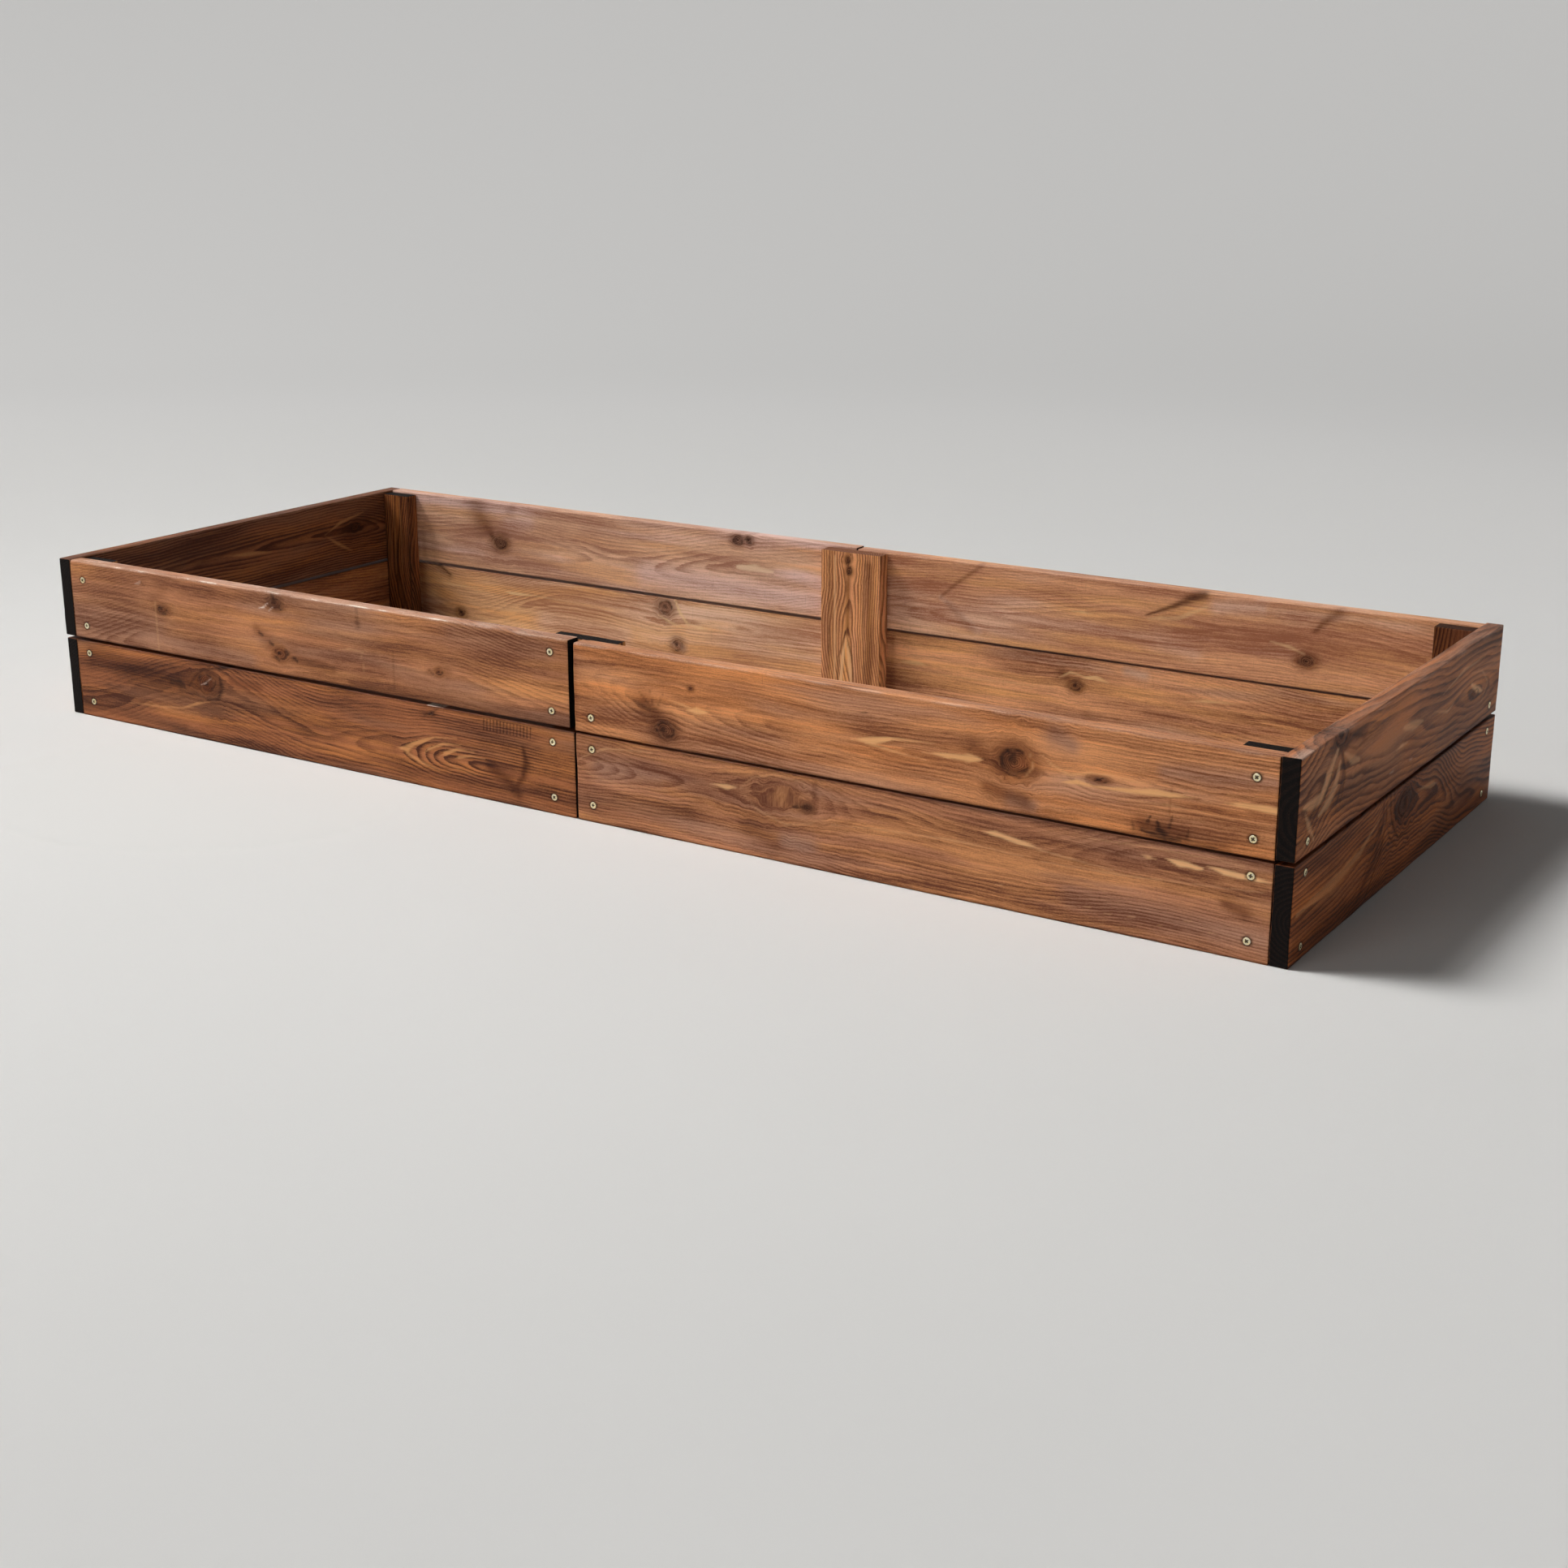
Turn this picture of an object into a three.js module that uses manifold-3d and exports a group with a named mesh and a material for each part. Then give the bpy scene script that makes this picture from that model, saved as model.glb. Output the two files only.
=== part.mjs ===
// A raised garden bed: two tiers of boards screwed to short inner posts, open above and below.
// Millimetres, +Z up. X runs along the bed, Y across it, and the ground is at Z = 0, under its middle.

import * as THREE from "three";
import { mergeVertices } from "three/addons/utils/BufferGeometryUtils.js";
import Module from "manifold-3d";

const wasm = await Module();
wasm.setup();

// The bed
const LENGTH = 2400;
const WIDTH = 900;

// Boards: 28 x 145 timber, in two tiers
const BOARD_T = 28;
const BOARD_H = 145;
const BOARD_EASE = 2.5;
const SEAM = 5;
const SEAM_RIGHT = 3;
const LOWER_LEFT_END_T = 26.5;

// The long sides are butted near the middle, with a wide joint in the front's upper tier
const UPPER_JOINT = { front: [-9.5, 0], back: [-5.4, -4] };
const LOWER_JOINT = [-1.3, 1.3];

// Inner posts, a little shorter than the two tiers and held just off the ground
const POST_T = 28;
const POST_BASE = 2;
const POST_TOP = 291;
const POST_EASE = 1.5;
const CORNER_POST_W = 68;
const MIDDLE_POST_W = 130;
const MIDDLE_POST_X = -2;

// Countersunk wood screws with raised heads
const SCREW_LENGTH = 50;
const SHANK_R = 2.4;
const HEAD_R = 5.5;
const HEAD_RISE = 1.2;
const HEAD_CONE = 3.1;
const TIP = 6;
const ROUND_SIDES = 10;

// Screw places: distances from the ground, and from the middle of the bed
const LOWER_ROW = [29, 122];
const UPPER_ROW_LOW = 174;
const UPPER_ROW_TOP_AT_END = 260;
const UPPER_ROW_TOP_AT_JOINT = 271;
const END_COLUMN_X = 1140;
const JOINT_COLUMN_LEFT_X = -46;
const JOINT_COLUMN_RIGHT_X = 33;
const END_BOARD_ROWS = { lower: [20, 126], upper: [170] };

// The air left between pieces that touch
const GAP = 0.3;

const ARC_STEPS = 3;

const WOOD = { color: 0x9c6543, roughness: 0.7, metalness: 0 };
const END_WOOD = { color: 0x7d5840, roughness: 0.75, metalness: 0 };
const POST_WOOD = { color: 0x6b432c, roughness: 0.8, metalness: 0 };
const ZINC = { color: 0xcfc8b4, roughness: 0.35, metalness: 1 };

const bed = new THREE.Group();
bed.name = "raised_bed";

// A rectangle with eased corners, centred on the origin
function easedRectangle(width, height, ease) {
  const shape = new THREE.Shape();
  const x = width / 2 - ease;
  const y = height / 2 - ease;
  shape.absarc(x, y, ease, 0, Math.PI / 2, false);
  shape.absarc(-x, y, ease, Math.PI / 2, Math.PI, false);
  shape.absarc(-x, -y, ease, Math.PI, 1.5 * Math.PI, false);
  shape.absarc(x, -y, ease, 1.5 * Math.PI, 2 * Math.PI, false);
  shape.closePath();
  return shape;
}

// A straight timber that fills the box from low to high, with its long edges eased
function timber(low, high, along, ease) {
  const size = new THREE.Vector3().subVectors(high, low);
  const middle = new THREE.Vector3().addVectors(low, high).multiplyScalar(0.5);
  const lengthwise = { x: size.x, y: size.y, z: size.z }[along];
  const section = {
    x: easedRectangle(size.z, size.y, ease),
    y: easedRectangle(size.x, size.z, ease),
    z: easedRectangle(size.x, size.y, ease),
  }[along];
  const geometry = new THREE.ExtrudeGeometry(section, {
    depth: lengthwise,
    bevelEnabled: false,
    curveSegments: ARC_STEPS,
  });
  geometry.translate(0, 0, -lengthwise / 2);
  if (along === "x") {
    geometry.rotateY(Math.PI / 2);
  }
  if (along === "y") {
    geometry.rotateX(-Math.PI / 2);
  }
  geometry.translate(middle.x, middle.y, middle.z);
  return geometry;
}

// A closed geometry with its shared corners merged, as a solid that can be cut
function toSolid(geometry) {
  const bare = geometry.clone();
  bare.deleteAttribute("normal");
  bare.deleteAttribute("uv");
  const merged = mergeVertices(bare, 1e-4);
  return new wasm.Manifold(
    new wasm.Mesh({
      numProp: 3,
      vertProperties: new Float32Array(merged.attributes.position.array),
      triVerts: new Uint32Array(merged.index.array),
    }),
  );
}

function toGeometry(solid) {
  const mesh = solid.getMesh();
  const geometry = new THREE.BufferGeometry();
  geometry.setAttribute("position", new THREE.BufferAttribute(mesh.vertProperties, 3));
  geometry.setIndex(new THREE.BufferAttribute(mesh.triVerts, 1));
  geometry.computeVertexNormals();
  return geometry;
}

function addMesh(name, geometry, look) {
  const mesh = new THREE.Mesh(geometry, new THREE.MeshStandardMaterial(look));
  mesh.name = name;
  bed.add(mesh);
}

// Turns a round shape made about +Y so that +Y points out of the board's face
function faceOutwards(geometry, screw) {
  const turn = new THREE.Quaternion().setFromUnitVectors(new THREE.Vector3(0, 1, 0), screw.out);
  geometry.applyQuaternion(turn);
  geometry.translate(screw.at.x, screw.at.y, screw.at.z);
  return geometry;
}

function lathe(points) {
  const profile = points.map(([r, y]) => new THREE.Vector2(r, y));
  return new THREE.LatheGeometry(profile, ROUND_SIDES);
}

// The screw itself: point, shank, countersunk cone, and a low dome that stands proud of the face
function screwGeometry(screw) {
  return faceOutwards(
    lathe([
      [0, HEAD_RISE - SCREW_LENGTH],
      [SHANK_R, HEAD_RISE - SCREW_LENGTH + TIP],
      [SHANK_R, -HEAD_CONE - GAP],
      [HEAD_R, -GAP],
      [HEAD_R, HEAD_RISE / 4],
      [HEAD_R * 0.7, HEAD_RISE * 0.8],
      [0, HEAD_RISE],
    ]),
    screw,
  );
}

// The hole for it, one gap larger all round
function screwHole(screw) {
  const r = SHANK_R + GAP;
  const head = HEAD_R + GAP;
  const bottom = HEAD_RISE - SCREW_LENGTH - 1;
  return toSolid(
    faceOutwards(
      lathe([
        [0, bottom],
        [r, bottom],
        [r, -HEAD_CONE - 2 * GAP],
        [head, -2 * GAP],
        [head, 4],
        [0, 4],
      ]),
      screw,
    ),
  );
}

// Every timber, as the box it fills and the direction its grain runs
const timbers = [];

function addTimber(name, low, high, along, ease, look) {
  const a = new THREE.Vector3(...low);
  const b = new THREE.Vector3(...high);
  timbers.push({ name, low: a, high: b, along, ease, look });
}

// Every screw, as the point where its axis meets the face, and the way the face looks
const screws = [];

function addScrew(name, at, out) {
  screws.push({ name, at: new THREE.Vector3(...at), out: new THREE.Vector3(...out) });
}

const insideX = LENGTH / 2 - BOARD_T;
const insideY = WIDTH / 2 - BOARD_T;
const topTierBase = BOARD_H + SEAM;
const topTierBaseRight = BOARD_H + SEAM_RIGHT;

// Long sides: two boards per tier, butted over the middle post
for (const [side, s] of [["front", -1], ["back", 1]]) {
  const y = s < 0 ? [-WIDTH / 2, -insideY] : [insideY, WIDTH / 2];
  const x0 = -insideX + GAP;
  const x1 = insideX - GAP;
  const upperTop = topTierBase + BOARD_H;
  const rightTop = topTierBaseRight + BOARD_H;
  const rows = [
    [`${side}_lower_left_board`, x0, LOWER_JOINT[0], 0, BOARD_H],
    [`${side}_lower_right_board`, LOWER_JOINT[1], x1, 0, BOARD_H],
    [`${side}_upper_left_board`, x0, UPPER_JOINT[side][0], topTierBase, upperTop],
    [`${side}_upper_right_board`, UPPER_JOINT[side][1], x1, topTierBaseRight, rightTop],
  ];
  for (const [name, xa, xb, za, zb] of rows) {
    addTimber(name, [xa, y[0], za], [xb, y[1], zb], "x", BOARD_EASE, WOOD);
  }
}

// Ends: one full-width board per tier, over the ends of the long boards
for (const [side, s] of [["left", -1], ["right", 1]]) {
  for (const tier of ["lower", "upper"]) {
    const thin = side === "left" && tier === "lower";
    const inner = s * insideX;
    const outer = inner + s * (thin ? LOWER_LEFT_END_T : BOARD_T);
    const z = tier === "lower" ? 0 : topTierBase;
    addTimber(
      `${side}_end_${tier}_board`,
      [Math.min(inner, outer), -WIDTH / 2, z],
      [Math.max(inner, outer), WIDTH / 2, z + BOARD_H],
      "y",
      BOARD_EASE,
      END_WOOD,
    );
  }
}

// Posts: flat against the long boards, one in each corner and one behind each joint
for (const [side, s] of [["front", -1], ["back", 1]]) {
  const face = s * (insideY - GAP);
  const back = face - s * POST_T;
  const y = [Math.min(face, back), Math.max(face, back)];
  const rows = [
    [`${side}_left_post`, -insideX + GAP, -insideX + GAP + CORNER_POST_W],
    [`${side}_middle_post`, MIDDLE_POST_X - MIDDLE_POST_W / 2, MIDDLE_POST_X + MIDDLE_POST_W / 2],
    [`${side}_right_post`, insideX - GAP - CORNER_POST_W, insideX - GAP],
  ];
  for (const [name, xa, xb] of rows) {
    addTimber(name, [xa, y[0], POST_BASE], [xb, y[1], POST_TOP], "z", POST_EASE, POST_WOOD);
  }
}

// Screws in the long sides: four per board, but three where no top screw shows beside the joint
for (const [side, s] of [["front", -1], ["back", 1]]) {
  const columns = [
    ["left_end", -END_COLUMN_X, UPPER_ROW_TOP_AT_END],
    ["joint_left", JOINT_COLUMN_LEFT_X, UPPER_ROW_TOP_AT_JOINT],
    ["joint_right", JOINT_COLUMN_RIGHT_X, null],
    ["right_end", END_COLUMN_X, UPPER_ROW_TOP_AT_END],
  ];
  for (const [column, x, top] of columns) {
    const rows = [...LOWER_ROW, UPPER_ROW_LOW];
    if (top !== null) {
      rows.push(top);
    }
    rows.forEach((z, i) => {
      addScrew(`${side}_screw_${column}_${i + 1}`, [x, (s * WIDTH) / 2, z], [0, s, 0]);
    });
  }
}

// Screws in the ends, into the edges of the corner posts
for (const [side, s] of [["left", -1], ["right", 1]]) {
  for (const [corner, c] of [["front", -1], ["back", 1]]) {
    const y = c * (insideY - GAP - POST_T / 2);
    const rows = [...END_BOARD_ROWS.lower, ...END_BOARD_ROWS.upper];
    rows.forEach((z, i) => {
      const lower = z < BOARD_H;
      const face = insideX + (side === "left" && lower ? LOWER_LEFT_END_T : BOARD_T);
      addScrew(`${side}_end_screw_${corner}_${i + 1}`, [s * face, y, z], [s, 0, 0]);
    });
  }
}

// A screw's hole is cut in each timber that the screw reaches
function reaches(screw, piece) {
  const tip = screw.at.clone().addScaledVector(screw.out, HEAD_RISE - SCREW_LENGTH);
  const box = new THREE.Box3(piece.low, piece.high);
  const line = new THREE.Box3().setFromPoints([screw.at, tip]);
  line.expandByScalar(SHANK_R);
  return box.intersectsBox(line);
}

for (const piece of timbers) {
  let solid = toSolid(timber(piece.low, piece.high, piece.along, piece.ease));
  for (const screw of screws) {
    if (reaches(screw, piece)) {
      solid = solid.subtract(screwHole(screw));
    }
  }
  addMesh(piece.name, toGeometry(solid), piece.look);
}

for (const screw of screws) {
  addMesh(screw.name, toGeometry(toSolid(screwGeometry(screw))), ZINC);
}

export default bed;
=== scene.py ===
import bpy
import math
import numpy as np
from mathutils import Matrix, Vector


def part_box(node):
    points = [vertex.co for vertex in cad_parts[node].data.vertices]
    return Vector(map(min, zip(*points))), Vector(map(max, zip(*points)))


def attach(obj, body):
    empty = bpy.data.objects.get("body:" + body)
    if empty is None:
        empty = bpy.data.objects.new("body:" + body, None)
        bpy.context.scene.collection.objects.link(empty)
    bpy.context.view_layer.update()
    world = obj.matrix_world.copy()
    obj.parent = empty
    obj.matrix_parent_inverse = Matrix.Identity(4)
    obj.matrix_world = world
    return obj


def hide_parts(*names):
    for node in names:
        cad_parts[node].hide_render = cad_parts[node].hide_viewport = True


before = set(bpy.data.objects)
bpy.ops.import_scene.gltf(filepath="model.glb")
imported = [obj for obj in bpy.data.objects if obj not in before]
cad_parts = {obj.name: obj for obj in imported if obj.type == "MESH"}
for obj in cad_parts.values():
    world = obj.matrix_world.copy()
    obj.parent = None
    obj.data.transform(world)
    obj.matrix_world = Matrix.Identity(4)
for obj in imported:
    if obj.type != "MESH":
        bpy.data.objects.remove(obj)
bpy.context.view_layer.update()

MM = 0.001
BOARD_T = 28.0  # every timber is 28 mm thick
SEED = 7


# ---------------------------------------------------------------- camera, floor and light

CAMERA_AT = (2.1781, -3.1902, 1.1435)
CAMERA_YAW, CAMERA_PITCH, CAMERA_ROLL = math.radians(-33.022), math.radians(17.294), math.radians(-0.103)
CAMERA_LENS, CAMERA_SENSOR = 52.24, 36.0


def make_camera():
    """The camera looks down on the front right corner, from about 4 m away."""
    data = bpy.data.cameras.new("camera")
    data.lens, data.sensor_width, data.clip_end = CAMERA_LENS, CAMERA_SENSOR, 100.0
    forward = Vector((
        math.sin(CAMERA_YAW) * math.cos(CAMERA_PITCH),
        math.cos(CAMERA_YAW) * math.cos(CAMERA_PITCH),
        -math.sin(CAMERA_PITCH),
    ))
    level = Vector((math.cos(CAMERA_YAW), -math.sin(CAMERA_YAW), 0.0))
    steep = level.cross(forward)
    across = math.cos(CAMERA_ROLL) * level + math.sin(CAMERA_ROLL) * steep
    up = math.cos(CAMERA_ROLL) * steep - math.sin(CAMERA_ROLL) * level
    turn = Matrix((across, up, -forward)).transposed().to_4x4()
    camera = bpy.data.objects.new("camera", data)
    camera.matrix_world = Matrix.Translation(CAMERA_AT) @ turn
    bpy.context.collection.objects.link(camera)
    bpy.context.scene.camera = camera


FLOOR_RADIUS, SWEEP_RADIUS, SWEEP_TURN = 6.5, 16.0, math.radians(48)


def make_floor():
    """A round studio floor whose rim sweeps gently up, so that no horizon shows from any side."""
    profile = [(r, 0.0) for r in np.linspace(0.0, FLOOR_RADIUS, 24)]
    for turn in np.linspace(0.0, SWEEP_TURN, 32)[1:]:
        rise = SWEEP_RADIUS * (1 - math.cos(turn))
        profile.append((FLOOR_RADIUS + SWEEP_RADIUS * math.sin(turn), rise))
    vertices, quads = lathe(profile, 96)
    mesh = bpy.data.meshes.new("studio_floor")
    mesh.from_pydata(vertices, [], quads)
    mesh.shade_smooth()
    floor = bpy.data.objects.new("studio_floor", mesh)
    bpy.context.collection.objects.link(floor)
    floor.data.materials.append(floor_material())


SKY_STRENGTH = 0.095
KEY_FROM, FILL_FROM = (-1.0, -0.3, 1.27), (-0.25, -1.0, 0.42)
# name, direction, distance, width, power, spread of its grid in degrees, the floor point it aims at
LAMPS = (
    ("broad", KEY_FROM, 60.0, 23.2, 24400.0, 180.0, (0.0, 0.0, 0.0)),
    ("pool", KEY_FROM, 16.0, 5.0, 52.0, 28.0, (-0.7, -0.7, 0.0)),
    ("fill", FILL_FROM, 24.0, 12.0, 640.0, 180.0, (0.0, 0.0, 0.0)),
)


def make_light():
    """A broad key lamp high on the left gives the soft shadow; a fill lamp and an even sky lift it."""
    scene = bpy.context.scene
    scene.view_settings.view_transform = "Standard"
    world = bpy.data.worlds.new("studio")
    scene.world = world
    world.use_nodes = True
    sky = world.node_tree.nodes["Background"]
    sky.inputs["Color"].default_value = (0.98, 0.99, 1.0, 1.0)
    sky.inputs["Strength"].default_value = SKY_STRENGTH
    for name, side, distance, width, power, spread, aim in LAMPS:
        lamp = bpy.data.lights.new(name, "AREA")
        lamp.shape, lamp.size = "DISK", width
        lamp.energy, lamp.color, lamp.spread = power, (1.0, 0.985, 0.975), math.radians(spread)
        stand = bpy.data.objects.new(name, lamp)
        stand.location = Vector(side).normalized() * distance
        stand.rotation_euler = (stand.location - Vector(aim)).to_track_quat("Z", "Y").to_euler()
        bpy.context.collection.objects.link(stand)


# ---------------------------------------------------------------- noise and easing, on arrays


def lattice_hash(cell, seed):
    """A number from -1 to 1 for each integer cell."""
    x, y, z = (cell[:, i].astype(np.uint64) for i in range(3))
    h = x * np.uint64(374761393) + y * np.uint64(668265263) + z * np.uint64(2246822519)
    h = (h + np.uint64(seed * 3266489917)) & np.uint64(0xFFFFFFFF)
    h = ((h ^ (h >> np.uint64(15))) * np.uint64(2246822519)) & np.uint64(0xFFFFFFFF)
    h = ((h ^ (h >> np.uint64(13))) * np.uint64(3266489917)) & np.uint64(0xFFFFFFFF)
    return ((h ^ (h >> np.uint64(16))) & np.uint64(0xFFFFFF)).astype(float) / 0x7FFFFF - 1.0


def noise(s, t, d, seed=0):
    """Smooth seeded noise from -1 to 1."""
    p = np.stack(np.broadcast_arrays(s, t, d), axis=-1) + 4096.0
    cell = np.floor(p).astype(np.int64)
    f = p - cell
    w = f * f * f * (f * (f * 6 - 15) + 10)
    total = np.zeros(len(p))
    for corner in np.ndindex(2, 2, 2):
        share = np.ones(len(p))
        for axis, side in enumerate(corner):
            share = share * (w[:, axis] if side else 1 - w[:, axis])
        total += share * lattice_hash(cell + np.array(corner), seed)
    return total


def layered_noise(s, t, d, seed=0, layers=3):
    """Noise with finer noise on top of it."""
    total, size = np.zeros(np.broadcast(s, t, d).shape), 1.0
    for layer in range(layers):
        k = 2.03**layer
        total += size * noise(s * k, t * k, d * k, seed + 31 * layer)
        size *= 0.5
    return total


def ease(low, high, x):
    """0 below low, 1 above high, smooth between. low may be the larger."""
    w = np.clip((x - low) / (high - low), 0.0, 1.0)
    return w * w * (3 - 2 * w)


def along(s, stations):
    """Values at s, eased between the (place, value, ...) stations. One array for each value."""
    stations = np.array(stations, float)
    where = np.clip(np.searchsorted(stations[:, 0], s) - 1, 0, len(stations) - 2)
    a, b = stations[where], stations[where + 1]
    w = ease(0.0, 1.0, (s - a[:, 0]) / (b[:, 0] - a[:, 0]))[:, None]
    return (a[:, 1:] * (1 - w) + b[:, 1:] * w).T


# ---------------------------------------------------------------- meshes


def bridge(rings, sides):
    """Faces from each ring of vertices to the next. A ring of one vertex is a point on the axis."""
    faces = []
    for lower, upper in zip(rings, rings[1:]):
        for i in range(sides):
            corners = [lower[i % len(lower)], lower[(i + 1) % len(lower)]]
            corners += [upper[(i + 1) % len(upper)], upper[i % len(upper)]]
            faces.append(tuple(dict.fromkeys(corners)))
    return faces


def lathe(profile, sides):
    """Vertices and quads of a profile of (radius, height) turned about Z. Points on the axis are shared."""
    vertices, rings = [], []
    for radius, height in profile:
        count = 1 if radius == 0 else sides
        rings.append(range(len(vertices), len(vertices) + count))
        for i in range(count):
            turn = 2 * math.pi * i / sides
            vertices.append((radius * math.cos(turn), radius * math.sin(turn), height))
    return vertices, bridge(rings, sides)


def box_shell(lines):
    """Vertices and quads of a closed box, divided at the given coordinates along each axis."""
    shape = tuple(len(line) for line in lines)
    surface = np.zeros(shape, bool)
    for axis in range(3):
        sheet = np.moveaxis(surface, axis, 0)
        sheet[0] = sheet[-1] = True
    index = np.full(shape, -1)
    index[surface] = np.arange(surface.sum())
    vertices = np.stack(np.meshgrid(*lines, indexing="ij"), axis=-1)[surface]
    quads = []
    for axis in range(3):
        for side in (0, -1):
            sheet = np.take(index, side, axis)
            loops = [sheet[:-1, :-1], sheet[1:, :-1], sheet[1:, 1:], sheet[:-1, 1:]]
            if (axis == 1) != (side == 0):
                loops.reverse()
            quads.append(np.stack(loops, axis=-1).reshape(-1, 4))
    return vertices, np.concatenate(quads)


EDGE_STEPS = (0.0, 0.35, 0.8, 1.4, 2.1, 3.0, 4.2, 6.0)


def divided(low, high, step):
    """Coordinates from low to high, close together by both ends and about step apart between them."""
    edge = np.array(EDGE_STEPS)
    inner = np.linspace(low + edge[-1], high - edge[-1], max(3, int((high - low) / step)))
    return np.concatenate([low + edge[:-1], inner, (high - edge[:-1])[::-1]])


def mesh_from_arrays(name, vertices, faces):
    """A mesh with vertices in mm, in the row frame."""
    mesh = bpy.data.meshes.new(name)
    faces = faces.tolist() if isinstance(faces, np.ndarray) else faces
    mesh.from_pydata((np.asarray(vertices) * MM).tolist(), [], faces)
    return mesh


def add_piece(name, mesh, material, node):
    """Puts a mesh in the scene as the piece that stands for a CAD node."""
    piece = bpy.data.objects.new(name, mesh)
    bpy.context.collection.objects.link(piece)
    mesh.materials.append(material)
    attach(piece, "root")
    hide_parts(node)
    return piece


def box_mm(node):
    """The corners of a CAD node in mm."""
    low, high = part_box(node)
    return np.array(low) / MM, np.array(high) / MM


# ---------------------------------------------------------------- node materials


class Shader:
    """Shorthand for the nodes of one material."""

    def __init__(self, name):
        self.material = bpy.data.materials.new(name)
        self.material.use_nodes = True
        self.tree = self.material.node_tree
        self.surface = self.tree.nodes["Principled BSDF"]

    def node(self, kind, inputs=(), **settings):
        made = self.tree.nodes.new("ShaderNode" + kind)
        for key, value in settings.items():
            setattr(made, key, value)
        for key, value in dict(inputs).items():
            self.put(made.inputs[key], value)
        return made

    def put(self, socket, value):
        if isinstance(value, bpy.types.NodeSocket):
            self.tree.links.new(value, socket)
        else:
            socket.default_value = value

    def attribute(self, name):
        return self.node("Attribute", attribute_name=name)

    def math(self, operation, *values, clamp=False):
        made = self.node("Math", operation=operation, use_clamp=clamp)
        for socket, value in zip(made.inputs, values):
            self.put(socket, value)
        return made.outputs[0]

    def scaled(self, vector, by, shift=(0.0, 0.0, 0.0)):
        return self.node("Mapping", {"Vector": vector, "Scale": by, "Location": shift}).outputs[0]

    def noise(self, vector, detail=3.0, roughness=0.55, distortion=0.0):
        inputs = {"Vector": vector, "Scale": 1.0, "Detail": detail}
        inputs |= {"Roughness": roughness, "Distortion": distortion}
        return self.node("TexNoise", inputs).outputs["Fac"]

    def span(self, value, low, high, out_low=0.0, out_high=1.0, smooth=True):
        """value taken from low..high to out_low..out_high and held at the ends."""
        inputs = {"Value": value, "From Min": low, "From Max": high, "To Min": out_low, "To Max": out_high}
        kind = "SMOOTHSTEP" if smooth else "LINEAR"
        return self.node("MapRange", inputs, interpolation_type=kind).outputs["Result"]

    def mix(self, factor, first, second, blend="MIX"):
        made = self.node("Mix", data_type="RGBA", blend_type=blend)
        self.put(made.inputs[0], factor)
        self.put(made.inputs[6], first)
        self.put(made.inputs[7], second)
        return made.outputs[2]

    def split(self, colour):
        return self.node("SeparateColor", {"Color": colour}).outputs


def rgb(red, green, blue):
    """A linear colour from an sRGB one of 0 to 255."""
    values = [v / 255 for v in (red, green, blue)]
    return tuple(v / 12.92 if v <= 0.04045 else ((v + 0.055) / 1.055) ** 2.4 for v in values) + (1.0,)


def floor_material():
    """Plain pale paper with the faintest mottle, and painted light that makes it whiter away from the bed.
    """
    m = Shader("studio_floor")
    place = m.node("TexCoord").outputs["Object"]
    mottle = m.noise(m.scaled(place, (2.0, 2.0, 2.0)), detail=2.0)
    near = m.mix(mottle, (0.63, 0.63, 0.615, 1), (0.65, 0.65, 0.635, 1))
    # Painted light: the paper grows whiter with distance from a point by the bed's front left.
    from_front = m.scaled(place, (1.0, 1.0, 1.0), (0.8, 1.0, 0.0))
    away = m.node("VectorMath", {0: from_front}, operation="LENGTH").outputs["Value"]
    colour = m.mix(m.span(away, 2.0, 5.2), near, (0.79, 0.79, 0.78, 1))
    m.put(m.surface.inputs["Base Color"], colour)
    m.surface.inputs["Roughness"].default_value = 0.9
    m.surface.inputs["Specular IOR Level"].default_value = 0.2
    return m.material


DARK_STAIN_AND_SHADE = rgb(44, 24, 15)
KNOT_BROWN = rgb(140, 72, 40)
SHADE_TINT = (0.34, 0.25, 0.19, 1.0)
PALE_WEAR_AND_HIGHLIGHT, CHIPPED = rgb(208, 174, 154), rgb(240, 226, 210)
SOAKED_ENDS = (rgb(9, 5, 4), rgb(40, 24, 16))  # dark and light
DRIER_ENDS = (rgb(46, 27, 18), rgb(112, 72, 50))
BARE_ENDS = (rgb(116, 72, 50), rgb(178, 126, 96))


def tinted(colour, tint):
    """A stain taken lighter or darker, never brighter than real wood; for some timbers the tint also paints
    in light or shade.
    """
    values = [c * k for c, k in zip(colour, tint)]
    return tuple(v * min(1.0, 0.86 / max(values)) for v in values) + (1.0,)


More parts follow.
